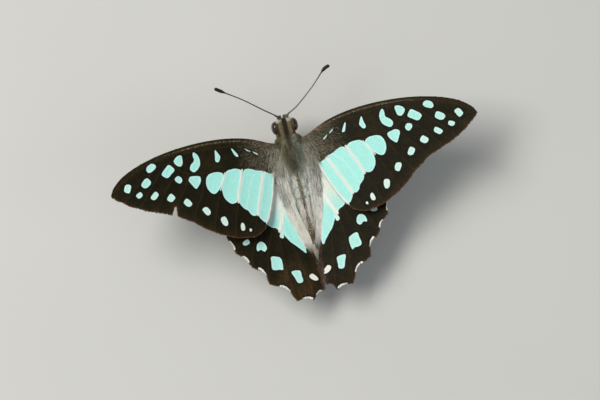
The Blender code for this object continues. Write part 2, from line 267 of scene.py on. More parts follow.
# Cream lines where veins cross the pale band, each with a half width
FORE_LINES = [
    (((13.1, 2.95), (13.55, 3.95), (14.25, 5.25), (14.85, 6.5)), 0.13),
    (((9.3, 2.95), (9.92, 4.6), (10.68, 6.5), (11.35, 8.3), (11.72, 9.7)), 0.23),
    (((4.75, 4.15), (5.5, 5.85), (6.6, 8.6), (7.6, 11.15), (8.3, 13.0)), 0.25),
    (((2.4, 4.9), (2.85, 7.0), (3.5, 9.0), (4.85, 12.4), (6.3, 15.0)), 0.56),
]
HIND_LINES = [(((1.4, 4.0), (2.05, 6.1), (2.95, 8.6), (3.95, 11.1), (4.2, 11.8)), 0.38)]
FAINT_LINE = ((6.25, 3.6), (7.2, 4.6), (7.95, 5.6), (9.15, 8.2), (10.2, 11.2))
# Veins, from the root outward
FORE_VEINS = [
    ((1.0, -0.9), (6.0, -2.55), (12.0, -3.35), (18.0, -3.5), (23.5, -3.1), (27.0, -2.75)),
    (
        (1.0, -0.3), (7.0, -1.95), (14.0, -2.65), (21.2, -2.55), (26.0, -2.0), (29.4, -1.25), (33.8, 0.95),
        (36.8, 3.0),
    ),
    (
        (1.2, 0.4), (4.9, 1.6), (9.3, 2.45), (12.9, 2.4), (17.9, 2.3), (20.6, 1.85), (22.3, 0.85),
        (23.3, -0.8),
    ),
    ((21.2, -2.55), (23.3, -1.3), (26.5, -0.7), (28.6, 0.75), (31.6, 2.7), (33.2, 4.1), (35.3, 6.0)),
    ((23.3, -1.0), (25.7, -0.35), (27.5, 1.8), (30.1, 4.9), (32.5, 7.7)),
    ((22.2, 0.9), (24.1, 2.4), (25.9, 4.3), (27.1, 5.95), (29.4, 9.1)),
    ((20.8, 1.8), (21.6, 3.9), (22.9, 6.0), (24.0, 7.4), (25.8, 10.3)),
    ((17.9, 2.35), (18.1, 4.6), (19.2, 7.2), (20.6, 9.4), (22.2, 12.6)),
    ((12.95, 2.4), (13.55, 3.95), (14.85, 6.5), (17.2, 12.0), (18.2, 15.4)),
    ((9.3, 2.45), (9.92, 4.6), (10.68, 6.5), (11.72, 9.7), (13.1, 13.2), (14.0, 17.2)),
    (
        (1.5, 0.9), (3.3, 2.3), (4.75, 4.15), (5.5, 5.85), (6.6, 8.6), (7.6, 11.15), (8.3, 13.0),
        (9.4, 15.6), (10.2, 17.6),
    ),
]
HIND_VEINS = [
    ((1.0, 0.0), (5.0, 1.2), (9.0, 4.0), (12.2, 7.4), (15.4, 11.4)),
    ((1.2, 0.6), (4.6, 3.2), (7.4, 6.5), (10.9, 10.7), (14.5, 14.8)),
    ((7.4, 6.5), (7.4, 8.6), (9.4, 12.2), (10.6, 14.6), (11.7, 18.3)),
    ((7.4, 8.6), (5.9, 10.9), (7.0, 14.2), (8.0, 17.2), (8.9, 22.4)),
    ((5.9, 10.9), (4.5, 11.8), (4.7, 15.5), (4.6, 19.8), (3.95, 27.0)),
    ((1.0, 1.6), (1.6, 3.6), (2.5, 6.0), (3.3, 8.6), (4.2, 11.7), (5.9, 10.9)),
    ((3.0, 7.6), (2.9, 11.5), (1.9, 16.4), (0.9, 21.5), (0.15, 27.3)),
]
# Crimson marks of the hindwing's underside, which the species has and a view from above doesn't show
HIND_RED = [
    spot(0.0, 6.1, 3.2, 0.9, 0.34, 40),
    spot(0.0, 8.9, 11.9, 0.75, 0.34, 30),
    spot(0.0, 6.2, 13.2, 0.70, 0.32, 15),
    spot(0.0, 3.6, 16.0, 0.70, 0.32, 5),
    spot(0.0, 1.1, 18.6, 0.60, 0.30, -5),
]


def nearest_shape(points, shapes):
    """Distance to the nearest of some shapes, negative inside, and that shape's own number."""
    reach = np.full(len(points), FAR)
    number = np.zeros(len(points))
    for loop, value in shapes:
        here = signed(points, loop)
        number = np.where(here < reach, value, number)
        reach = np.minimum(reach, here)
    return reach, number


def nearest_line(points, lines):
    """Distance to the nearest of some thick lines, negative inside."""
    reach = np.full(len(points), FAR)
    for line, half in lines:
        reach = np.minimum(reach, to_line(points, curve(line, 6)) - half)
    return reach


def read_mesh(mesh):
    """A mesh's corners and its triangles, as arrays."""
    mesh.calc_loop_triangles()
    points = np.zeros(len(mesh.vertices) * 3)
    mesh.vertices.foreach_get("co", points)
    faces = np.zeros(len(mesh.loop_triangles) * 3, int)
    mesh.loop_triangles.foreach_get("vertices", faces)
    return points.reshape(-1, 3), faces.reshape(-1, 3)


class Wing:
    """One wing: its place, its outline on its own chart, and fields over that chart."""

    def __init__(self, kind, side):
        self.fore, self.side = kind == "fore", side
        self.name = kind + "wing_" + SIDES[side]
        if self.fore:
            x, y, z = FORE_HINGE
            angles = (0, -side * FORE_DIHEDRAL[side], 0)
        else:
            x, y, z = HIND_HINGE
            y += side * HIND_STAGGER
            angles = (-HIND_PITCH, -side * HIND_DIHEDRAL[side], HIND_YAW)
        self.turn = np.array(Euler([math.radians(angle) for angle in angles]).to_matrix())
        self.hinge = np.array([side * x, y + BODY_Y, z])
        self.fan_centre = np.array((-3.0, -18.0) if self.fore else (3.0, -4.0))
        self.loop = self.read_loop()
        self.make_fields()

    def place(self, uv, height):
        """Points in the frame for chart points at heights over the wing's mid sheet."""
        u, v = uv.T
        return columns(self.side * u, v, height - CAMBER * u * u) @ self.turn.T + self.hinge

    def to_frame(self, vectors):
        """Directions in the frame for directions on the chart: u, v and up."""
        return (vectors * [self.side, 1, 1]) @ self.turn.T

    def up(self, n):
        """The direction up from the wing, n times."""
        return np.tile(self.to_frame(np.array((0.0, 0.0, 1.0))), (n, 1))

    def read_loop(self):
        """The outline on the chart: where the CAD wing's top meets its side walls."""
        points, faces = read_mesh(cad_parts[self.name].data)
        local = (points / MM - self.hinge) @ self.turn
        u = self.side * local[:, 0]
        chart = columns(u, local[:, 1], local[:, 2] + CAMBER * u * u)
        _, first, same = np.unique(np.round(chart, 3), axis=0, return_index=True, return_inverse=True)
        faces = same.reshape(-1)[faces]
        chart = chart[first]
        a, b, c = (chart[faces[:, k]] for k in range(3))
        flat = np.abs(unit(np.cross(b - a, c - a))[:, 2]) > 0.7
        top = flat & ((a + b + c)[:, 2] > 0)
        edges = dict.fromkeys((face[k], face[(k + 1) % 3]) for face in faces[top] for k in range(3))
        after = {i: j for i, j in edges if (j, i) not in edges}
        chain = [next(iter(after))]
        while after[chain[-1]] != chain[0]:
            chain.append(after[chain[-1]])
        loop = chart[chain][:, :2]
        area = np.sum(loop[:, 0] * np.roll(loop[:, 1], -1) - loop[:, 1] * np.roll(loop[:, 0], -1))
        return loop if area > 0 else loop[::-1]

    def make_fields(self):
        """Distances over a grid on the chart, read later by straight interpolation."""
        self.low = self.loop.min(0) - 1.0
        high = self.loop.max(0) + 1.0
        self.count = np.ceil((high - self.low) / FIELD_STEP).astype(int) + 1
        u, v = (self.low[k] + FIELD_STEP * np.arange(self.count[k]) for k in (0, 1))
        grid = np.stack(np.meshgrid(u, v, indexing="ij"), axis=-1).reshape(-1, 2)
        patch, white = nearest_shape(grid, FORE_SPOTS if self.fore else HIND_SPOTS)
        inner = faint = red = np.full(len(grid), FAR)
        if self.fore:
            faint = to_line(grid, curve(FAINT_LINE, 6))
        else:
            crescents = nearest_line(grid, LUNULES)
            white = np.where(crescents < patch, 1.0, white)
            patch = np.minimum(patch, crescents)
            inner = to_line(grid, self.inner_edge())
            red = nearest_shape(grid, HIND_RED)[0]
        fields = {
            "rim": signed(grid, self.loop, 50.0),
            "patch": patch,
            "white": white,
            "pale": nearest_line(grid, FORE_LINES if self.fore else HIND_LINES),
            "vein": nearest_line(grid, [(vein, 0.0) for vein in (FORE_VEINS if self.fore else HIND_VEINS)]),
            "front": to_line(grid, self.front_edge()),
            "inner": inner,
            "faint": faint,
            "red": red,
        }
        self.fields = {key: values.reshape(self.count) for key, values in fields.items()}

    def front_edge(self):
        """The edge ahead of the chord from the root to the tip, from the root outward."""
        tip = self.loop[np.argmax(self.loop[:, 0])]
        root = self.loop[np.argmin(np.abs(self.loop[:, 0] - 1.0) + 0.2 * self.loop[:, 1])]
        chord = root[1] + (self.loop[:, 0] - root[0]) * (tip[1] - root[1]) / (tip[0] - root[0])
        front = self.loop[self.loop[:, 1] <= chord + 1e-3]
        return front[np.argsort(front[:, 0])]

    def inner_edge(self):
        """A hindwing's edge beside the abdomen, from the root to the heel."""
        ahead = np.roll(self.loop, -1, axis=0) - self.loop
        edge = self.loop[(ahead[:, 1] < -0.05) & (self.loop[:, 0] < 1.1) & (self.loop[:, 1] < 25.6)]
        return edge[np.argsort(edge[:, 1])]

    def field(self, key, uv):
        """A field's values at chart points."""
        where = np.clip((uv - self.low) / FIELD_STEP, 0, self.count - 1.001)
        i, j = where.astype(int).T
        across, along = (where - where.astype(int)).T
        grid = self.fields[key]
        near = grid[i, j] * (1 - along) + grid[i, j + 1] * along
        far = grid[i + 1, j] * (1 - along) + grid[i + 1, j + 1] * along
        return near * (1 - across) + far * across

    def slope(self, uv, step):
        """How the distance to the rim changes along u and v, which points outward."""
        moves = step * np.eye(2)
        return columns(*(self.field("rim", uv + move) - self.field("rim", uv - move) for move in moves))

    def lie(self, uv):
        """Direction in which the scales point, on the chart."""
        fan = unit(uv - self.fan_centre)
        if self.fore:
            fan = unit(blend(fan, (1.0, 0.05), smooth(uv[:, 1], 3.0, -3.0)[:, None]))
        return fan

    def flow(self, uv):
        """Two coordinates that follow the veins: across them and along them."""
        u, v = (uv - self.fan_centre).T
        return np.arctan2(u, v) * (28.0 if self.fore else 20.0), np.hypot(u, v)

    def relief(self, uv):
        """Height of the mid sheet over its smooth shape: pleats along the veins, and a soft warp."""
        pleat = 0.11 * np.exp(-((self.field("vein", uv) / 0.9) ** 2))
        warp = 0.10 * np.sin(uv[:, 0] / 4.1 + 0.7 * self.side) * np.sin(uv[:, 1] / 3.3 + 1.0)
        return (pleat - 0.05 + warp) * smooth(uv[:, 0], 1.0, 5.0)

    def half(self, uv):
        """Half the wing's thickness: stout at the root and along the front edge, thin elsewhere."""
        u = uv[:, 0]
        root = 0.20 * np.exp(-np.maximum(u - 0.9, 0) / 1.6)
        taper = np.clip(1 - u / self.loop[:, 0].max(), 0.25, 1)
        costa = (0.13 if self.fore else 0.05) * np.exp(-((self.field("front", uv) / 0.3) ** 2)) * taper
        ridge = 0.05 * np.exp(-((self.field("vein", uv) / 0.13) ** 2)) * (0.4 + 0.6 * taper)
        return 0.055 + root + costa + ridge

    def face(self, uv, upper):
        """Height of the upper or lower face over the mid sheet's smooth shape."""
        return self.relief(uv) + (1 if upper else -1) * self.half(uv)

    def wear(self, u, v, rim, front):
        """How grey the ground is, near the root and the front edge, and how rusty, where it is worn."""
        if self.fore:
            root = smooth(np.hypot(u, v - 1.0), 11.0, 2.0) * smooth(v, 5.6, 3.4)
            dots = np.exp(-(((front - 0.62) / 0.13) ** 2)) * smooth(u, 31.0, 18.0)
            rust = 0.35 * smooth(rim, 2.4, 0.0) + 0.25 * smooth(u, 12.0, 3.0) * smooth(v, 4.0, 1.0)
            rust += 0.25 * smooth(np.hypot(u - 16, v - 1), 7.0, 0.0)
            if self.side < 0:
                rust += 1.3 * smooth(front, 0.50, 0.34) * smooth(u, 1.9, 2.6) * smooth(u, 7.2, 6.4)
            return np.maximum(0.62 * root, 0.85 * dots), rust
        at_rim, at_heel = (0.30, 0.90) if self.side > 0 else (0.12, 0.15)
        heel = smooth(np.hypot(u - 3.2, (v - 23.0) * 0.9), 6.0, 1.5)
        rust = at_rim * smooth(rim, 2.0, 0.0) + at_heel * heel
        return 0.35 * smooth(np.hypot(u, v), 6.0, 1.0), rust

    def marks(self, uv):
        """The attributes that the wing materials read."""
        fields = {key: self.field(key, uv) for key in self.fields}
        white = fields["white"]
        if not self.fore:
            white = np.maximum(white, smooth(uv[:, 1], 11.0, 5.5) * smooth(uv[:, 0], 9.5, 5.5) * 0.90)
        rim = -fields["rim"]
        grey, rust = self.wear(*uv.T, rim, fields["front"])
        return {
            "mark_a": columns(fields["patch"], white, rim),
            "mark_b": columns(fields["pale"], fields["vein"], grey),
            "mark_c": columns(*self.flow(uv), rust),
            "mark_d": columns(fields["faint"], fields["red"], fields["front"]),
        }


# ---------------------------------------------------------------- materials


class Value:
    """A node's output; sums, products and soft steps of it add the nodes that they need."""

    def __init__(self, paint, socket):
        self.paint, self.socket = paint, socket

    def maths(self, operation, a, b, **settings):
        """Result of one operation on two numbers."""
        return self.paint.add("ShaderNodeMath", {0: a, 1: b}, operation=operation, **settings)

    def __add__(self, other):
        return self.maths("ADD", self, other)

    def __radd__(self, other):
        return self.maths("ADD", other, self)

    def __sub__(self, other):
        return self.maths("SUBTRACT", self, other)

    def __rsub__(self, other):
        return self.maths("SUBTRACT", other, self)

    def __mul__(self, other):
        return self.maths("MULTIPLY", self, other)

    def step(self, low, high):
        """Soft step from 0 at low to 1 at high; low may be the larger."""
        if low > high:
            return 1.0 - self.step(high, low)
        inputs = {"Value": self, "From Min": low, "From Max": high}
        return self.paint.add("ShaderNodeMapRange", inputs, "Result", interpolation_type="SMOOTHSTEP")


class Paint:
    """Short calls that add nodes to one material."""

    def __init__(self, name, roughness, specular=0.30):
        self.material = bpy.data.materials.new(name)
        self.material.use_nodes = True
        self.tree = self.material.node_tree
        self.shader = self.tree.nodes["Principled BSDF"]
        self.shader.inputs["Roughness"].default_value = roughness
        self.shader.inputs["Specular IOR Level"].default_value = specular

    def feed(self, socket, value):
        """Link or set one input."""
        if isinstance(value, Value):
            self.tree.links.new(value.socket, socket)
        elif isinstance(value, tuple) and socket.type == "RGBA":
            socket.default_value = (*value, 1.0)
        else:
            socket.default_value = value

    def add(self, kind, inputs, output=0, **settings):
        """One output of a new node whose settings and inputs are given."""
        node = self.tree.nodes.new(kind)
        for key, value in settings.items():
            setattr(node, key, value)
        for key, value in inputs.items():
            self.feed(node.inputs[key], value)
        return Value(self, node.outputs[output])

    def attribute(self, name, output):
        """One of the mesh's attributes."""
        return self.add("ShaderNodeAttribute", {}, output, attribute_name=name)

    def parts(self, name):
        """The three numbers of an attribute."""
        split = self.add("ShaderNodeSeparateXYZ", {0: self.attribute(name, "Vector")})
        return [Value(self, output) for output in split.socket.node.outputs]

    def place(self):
        """Place in the object's own space, in metres."""
        return self.add("ShaderNodeTexCoord", {}, "Object")

    def noise(self, size, detail=2.0):
        """Noise whose features are about size mm across."""
        return self.noise_over(self.place(), 1 / (size * MM), detail)

    def noise_over(self, vector, scale, detail):
        """Noise over any vector."""
        return self.add("ShaderNodeTexNoise", {"Vector": vector, "Scale": scale, "Detail": detail}, "Fac")

    def streaks(self, across, along, detail):
        """Noise drawn out along the veins."""
        return self.noise_over(self.add("ShaderNodeCombineXYZ", {0: across, 1: along}), 1.0, detail)

    def mix(self, share, a, b):
        """Colour between two."""
        return self.add("ShaderNodeMix", {"Factor": share, 6: a, 7: b}, 2, data_type="RGBA")

    def shade(self, colour, amount):
        """Colour times an amount."""
        return self.add("ShaderNodeVectorMath", {0: colour, "Scale": amount}, operation="SCALE")

    def bump(self, height, distance, strength):
        """Bump whose full height is distance in mm."""
        inputs = {"Height": height, "Distance": distance * MM, "Strength": strength}
        self.feed(self.shader.inputs["Normal"], self.add("ShaderNodeBump", inputs))

    def finish(self, colour):
        """The material, with the colour linked in."""
        self.feed(self.shader.inputs["Base Color"], colour)
        return self.material


AQUA_DEEP = (0.430, 0.870, 0.800)
AQUA_PALE = (0.580, 0.940, 0.900)
WHITE_SCALES = (0.86, 0.88, 0.80)
CREAM_LINE = (0.90, 0.88, 0.80)
BROWN_BLACK = (0.0110, 0.0092, 0.0030)
BROWN = (0.044, 0.029, 0.010)
HALO = (0.008, 0.006, 0.004)
RUST = (0.150, 0.062, 0.028)
ORANGE = (0.340, 0.130, 0.050)
GREY_SPECK = (0.300, 0.265, 0.185)
UNDER_BROWN = (0.085, 0.056, 0.034)
UNDER_DARK = (0.036, 0.024, 0.016)
UNDER_PATCH = (0.400, 0.660, 0.520)
CRIMSON = (0.420, 0.030, 0.035)


def wing_material(name, under):
    """Wing scales: pale patches on brown, from the distances that the mesh carries."""
    paint = Paint(name, roughness=0.60, specular=0.10)
    patch, white, rim = paint.parts("mark_a")
    pale, vein, grey = paint.parts("mark_b")
    across, along, rust = paint.parts("mark_c")
    faint, red, front = paint.parts("mark_d")
    grain = paint.attribute("grain", "Fac")
    fine = paint.noise(0.11, 1.0)
    coarse = paint.noise(1.6, 3.0)
    streak = paint.streaks(across * 3.0, along * 0.22, 3.0)
    stripes = paint.streaks(across * 7.0, along * 0.5, 1.0)
    dark, brown, halo_dark, inside = BROWN_BLACK, BROWN, HALO, AQUA_DEEP
    if under:
        dark, brown, halo_dark, inside = UNDER_DARK, UNDER_BROWN, UNDER_DARK, UNDER_PATCH

    # Ground: brown, warmer and rustier where it is worn, darkest round the patches, speckled with grey
    mild = rust.maths("MINIMUM", rust, 0.55)
    ground = paint.mix(mild.maths("ADD", mild, (coarse - 0.5) * 0.7, use_clamp=True), dark, brown)
    ground = paint.mix((mild + streak * 0.9).step(0.95, 1.35) * 0.6, ground, RUST)
    ground = paint.mix(vein.step(0.20, 0.05) * 0.35, ground, brown)
    ground = paint.mix(rust.step(1.05, 1.30) * paint.noise(0.45).step(0.50, 0.60) * 0.7, ground, ORANGE)
    ground = paint.mix(patch.step(0.75, 0.05) * 0.55, ground, halo_dark)
    edge = rim.step(0.26, 0.06) * fine.step(0.30, 0.55) * front.step(0.30, 0.80)
    ground = paint.mix(edge * 0.75, ground, RUST)
    salt = paint.noise(0.05, 1.0) + grain * 0.22
    rays = 0.30 + streak.step(0.36, 0.58) * 0.85
    ground = paint.mix(grey * rays * salt.step(0.52, 0.72), ground, GREY_SPECK)
    ground = paint.shade(ground, 0.62 + grain * 0.76)

    # Patches: aqua, paler towards their edges and along the faint line, or white
    tint = paint.mix(patch.step(-0.42, -0.02), inside, AQUA_PALE)
    tint = paint.mix(faint.step(0.34, 0.10) * 0.45, tint, AQUA_PALE)
    tint = paint.mix(white, tint, WHITE_SCALES)
    tint = paint.shade(tint, stripes * 0.16 + grain * 0.10 + 0.87)
    ragged = patch + (fine - 0.5) * 0.10
    colour = paint.mix(ragged.step(0.05, -0.05), ground, tint)
    lined = pale + (fine - 0.5) * 0.12
    near_patch = patch.step(0.75, 0.45)
    colour = paint.mix(lined.step(0.08, -0.08) * near_patch * 0.92, colour, CREAM_LINE)
    if under:
        colour = paint.mix(red.step(0.05, -0.05), colour, CRIMSON)
    paint.bump(fine + stripes, 0.02, 0.5)
    return paint.finish(colour)


def hair_material(name, roughness=0.55):
    """Hair whose colour the mesh carries, with a little life of its own."""
    paint = Paint(name, roughness)
    tint = paint.attribute("tint", "Color")
    lively = 0.80 + paint.noise(0.25) * 0.40
    paint.bump(paint.noise(0.05, 1.0), 0.006, 0.5)
    return paint.finish(paint.shade(tint, lively))


def skin_material(name):
    """Skin under the hair: the same zones, and small scales as bump."""
    paint = Paint(name, roughness=0.60)
    tint = paint.attribute("tint", "Color")
    lively = 0.45 + paint.noise(0.12) * 0.8
    paint.bump(paint.noise(0.09), 0.05, 0.8)
    return paint.finish(paint.shade(tint, lively))


def horn_material(name):
    """Dark horn of feelers, tongue and legs: rings and scales come as a tint, with a dull gloss."""
    paint = Paint(name, roughness=0.45)
    tint = paint.attribute("tint", "Color")
    speck = paint.noise(0.06)
    lively = 0.55 + speck * 0.90
    paint.bump(speck, 0.010, 0.5)
    return paint.finish(paint.shade(tint, lively))


def eye_material(name):
    """Dark, very glossy eye with fine facets, browner at its inner rim."""
    paint = Paint(name, roughness=0.16, specular=0.4)
    inner = paint.attribute("inner", "Fac")
    dark = paint.mix(paint.noise(0.5) * 0.5, (0.014, 0.007, 0.004), (0.042, 0.021, 0.011))
    colour = paint.mix(inner, dark, (0.110, 0.054, 0.024))
    facets = {"Vector": paint.place(), "Scale": 1 / (0.055 * MM)}
    paint.bump(paint.add("ShaderNodeTexVoronoi", facets, "Distance"), 0.008, 0.25)
    paint.shader.inputs["Coat Weight"].default_value = 0.3
    paint.shader.inputs["Coat Roughness"].default_value = 0.06
    return paint.finish(colour)


def floor_material(name):
    """Matt pale floor, very slightly cloudy."""
    paint = Paint(name, roughness=0.85, specular=0.15)
    return paint.finish(paint.mix(paint.noise(60.0), (0.60, 0.60, 0.58), (0.64, 0.64, 0.62)))


# ---------------------------------------------------------------- meshes


def build(name, points, faces, finish, slot, uv=None, flat=False, **attributes):
    """Piece from arrays in mm, with attributes of one value or three for each point."""
    mesh = bpy.data.meshes.new(name)
    mesh.from_pydata(points * MM, [], faces)
    for key, values in attributes.items():
        kind, part = ("FLOAT_VECTOR", "vector") if values.ndim == 2 else ("FLOAT", "value")
        mesh.attributes.new(key, kind, "POINT").data.foreach_set(part, values.astype(np.float32).ravel())
    if uv is not None:
        mesh.uv_layers.new(name="OFBake").data.foreach_set("uv", uv.astype(np.float32).ravel())
    mesh.materials.append(finish)
    if not flat:
        mesh.shade_smooth()
    thing = bpy.data.objects.new(name, mesh)
    bpy.context.scene.collection.objects.link(thing)
    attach(thing, "root")
    return thing


def side_edges(faces):
    """Edges that only one triangle has, in that triangle's direction."""
    edges = np.concatenate([faces[:, [0, 1]], faces[:, [1, 2]], faces[:, [2, 0]]])
    top = faces.max() + 1
    keys = edges[:, 0] * top + edges[:, 1]
    back = edges[:, 1] * top + edges[:, 0]
    return edges[~np.isin(keys, back)]


def chart_map(wing, uv):
    """Chart points on the unit square."""
    low, high = wing.loop.min(0), wing.loop.max(0)
    return 0.02 + 0.94 * (uv - low) / (high - low)


def drawn_in(wing, uv):
    """Chart points drawn in from the rim, and in towards the body at the root."""
    inward = unit(0.02 * unit(wing.loop.mean(0) - uv) - wing.slope(uv, 0.05))
    inner = wing.field("inner", uv)
    fringed = smooth(np.minimum(wing.field("front", uv), inner), 0.2, 0.8)
    fringed -= 0.5 * smooth(inner, 0.5, 0.1) * smooth(uv[:, 1], 16.0, 18.0)
    near_rim = np.clip(1 + wing.field("rim", uv) / 1.4, 0, 1) ** 2
    drawn = uv + inward * (FRINGE * fringed * near_rim)[:, None]
    drawn[:, 0] -= 1.15 * smooth(uv[:, 0], 2.6, 0.8) * smooth(uv[:, 1], 3.4, 1.6)
    return drawn


def staggered(wing, across, along):
    """Chart points in even rows over the wing's box, every other row shifted by half a step."""
    low, high = wing.loop.min(0), wing.loop.max(0)
    grid = np.meshgrid(np.arange(low[0], high[0], across), np.arange(low[1], high[1], along))
    grid = np.stack(grid, axis=-1)
    grid[1::2, :, 0] += across / 2
    return grid.reshape(-1, 2)


def sheet_net(wing):
    """Triangles over a wing's chart, which all turn the same way."""
    pitch = 0.21
    rim = spaced(np.vstack([wing.loop, wing.loop[:1]]), 0.2)[:-1]
    grid = staggered(wing, pitch, pitch * 0.866)
    grid = grid[wing.field("rim", grid) < -0.12]
    corners = [Vector(point) for point in np.vstack([rim, grid])]
    edges = [(i, (i + 1) % len(rim)) for i in range(len(rim))]
    places, _, faces, *_ = delaunay_2d_cdt(corners, edges, [], 1, 1e-6)
    uv = np.array([place[:] for place in places])
    faces = np.array([face[:] for face in faces])
    a, b, c = (uv[faces[:, k]] for k in range(3))
    turned = (b - a)[:, 0] * (c - a)[:, 1] - (b - a)[:, 1] * (c - a)[:, 0] < 0
    faces[turned] = faces[turned][:, ::-1]
    return uv, faces


def membrane(wing, upper_finish, lower_finish):
    """The wing itself: a thin closed sheet with raised veins and pleats."""
    uv, faces = sheet_net(wing)
    n = len(uv)
    drawn = drawn_in(wing, uv)
    thin = np.clip(-wing.field("rim", uv) / 0.25, 0.15, 1)
    thin = np.where(wing.field("front", uv) < 0.3, np.maximum(thin, 0.6), thin)
    relief, half = wing.relief(uv), wing.half(uv) * thin
    points = np.vstack([wing.place(drawn, relief + half), wing.place(drawn, relief - half)])
    i, j = side_edges(faces).T
    walls = np.concatenate([columns(j, i, i + n), columns(j, i + n, j + n)])
    everything = np.concatenate([faces, faces[:, ::-1] + n, walls])
    # On the map, the upper face takes the left half, the lower face the right half, and the walls a strip
    flat = chart_map(wing, uv) * [0.5, 0.94]
    share = np.arange(len(i) + 1) / len(i)
    start, end = share[:-1], share[1:]
    base, lid = 0.97, 0.98
    strips = [
        columns(end, base, start, base, start, lid),
        columns(end, base, start, lid, end, lid),
    ]
    on_map = [flat[faces], flat[faces[:, ::-1]] + [0.5, 0], np.concatenate(strips).reshape(-1, 3, 2)]
    on_map = np.concatenate(on_map)
    if wing.side < 0:
        everything, on_map = everything[:, ::-1], on_map[:, ::-1]
    marks = {key: np.vstack([values, values]) for key, values in wing.marks(uv).items()}
    marks["grain"] = np.full(2 * n, 0.5)
    name = wing.name + "_sheet"
    thing = build(name, points, everything, upper_finish, "wing_scales", on_map.reshape(-1, 2), **marks)
    thing.data.materials.append(lower_finish)
    index = np.zeros(len(everything), np.int32)
    index[len(faces) : 2 * len(faces)] = 1
    thing.data.polygons.foreach_set("material_index", index)
    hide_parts(wing.name)


# One scale, along its first axis: five points of its outline, then its middle's top and underside
SCALE = np.array(
    [
        (0.0, 0.0, 0.0), (0.12, 0.115, 0.012), (0.35, 0.085, 0.040), (0.35, -0.085, 0.040),
        (0.12, -0.115, 0.012), (0.20, 0.0, 0.046), (0.20, 0.0, 0.006),
    ]
)
SCALE_FACES = np.array([((k + 1) % 5, k, 5) for k in range(5)] + [(k, (k + 1) % 5, 6) for k in range(5)])
SCALE_ACROSS = 0.195
SCALE_ALONG = 0.26


def scale_coat(wing, upper, finish, random):
    """Overlapping wing scales over one face of a wing, as thin closed shields."""
    roots = staggered(wing, SCALE_ACROSS, SCALE_ALONG)
    roots = roots + random.uniform(-0.10, 0.10, roots.shape)
    roots = roots[wing.field("rim", roots) < -0.14]
    n = len(roots)
    turn = random.normal(0, 0.15, n)
    u, v = wing.lie(roots).T
    lie = columns(u * np.cos(turn) - v * np.sin(turn), u * np.sin(turn) + v * np.cos(turn))
    across = columns(-lie[:, 1], lie[:, 0])
    size = random.uniform(0.85, 1.20, n)
    flat = lie[:, None] * SCALE[:, :1] + across[:, None] * SCALE[:, 1:2]
    flat = drawn_in(wing, roots)[:, None] + size[:, None, None] * flat
    # A scale's colours and height come from the chart near its root, so that markings keep their edges
    where = (roots[:, None] + 0.8 * (flat - flat[:, :1])).reshape(-1, 2)
    lift = SCALE[:, 2] * random.uniform(0.7, 1.3, n)[:, None]
    height = wing.relief(where) + (1 if upper else -1) * (wing.half(where) + lift.ravel() - 0.004)
    points = wing.place(flat.reshape(-1, 2), height)
    faces = (np.arange(n)[:, None, None] * len(SCALE) + SCALE_FACES).reshape(-1, 3)
    if (wing.side > 0) == upper:
        faces = faces[:, ::-1]
    patches = chart_map(wing, roots)[:, None] + TUFT * (SCALE[:, :2] / 0.37 + [0, 0.5])
    on_map = patches.reshape(-1, 2)[faces.ravel()]
    grain = np.repeat(random.uniform(0.0, 1.0, n), len(SCALE))
    name = ("scales_upper_" if upper else "scales_lower_") + wing.name
    build(name, points, faces, finish, "wing_scales", on_map, flat=True, grain=grain, **wing.marks(where))


SHORT_HAIR = ((0.0, 1.0), (0.55, 0.85))  # rings of a hair: shares of its length, and of its width there
LONG_HAIR = ((0.0, 1.0), (0.35, 0.95), (0.72, 0.60))


def strands(roots, directions, lengths, widths, sag, tint, tips, uv, facing, flatness, levels):
    """Closed tapering three-sided hairs, as arrays: points, faces, tints and map places."""
    directions = unit(directions)
    side = unit(np.cross(directions, facing))
    up = np.cross(directions, side)
    lengths, widths = lengths[:, None], widths[:, None]
    rows, tints, places = [], [], []

    def point(share, offset, across):
        rows.append(roots + directions * (lengths * share) + sag * (lengths * share * share) + offset)
        tints.append(tint * (1 - share) + tips * share)
        places.append(uv + TUFT * np.array((across, share)))

    for share, width in levels:
        r = widths * width / 2
        for k in range(3):
            angle = 2 * np.pi * k / 3 - np.pi / 2
            point(share, side * (math.cos(angle) * r) + up * (math.sin(angle) * r * flatness), k / 3)
    point(1.0, 0.0, 0.5)
    last = 3 * (len(levels) - 1)
    faces = [(2, 1, 0)]
    for row in range(0, last, 3):
        for k in range(3):
            a, b = row + k, row + (k + 1) % 3
            faces += [(a, b, b + 3), (a, b + 3, a + 3)]
    faces += [(last + k, last + (k + 1) % 3, last + 3) for k in range(3)]
    faces = (np.arange(len(roots))[:, None, None] * len(rows) + np.array(faces)).reshape(-1, 3)
    points, tints, places = (np.stack(part, axis=1) for part in (rows, tints, places))
    return points.reshape(-1, 3), faces, tints.reshape(-1, 3), places.reshape(-1, 2)


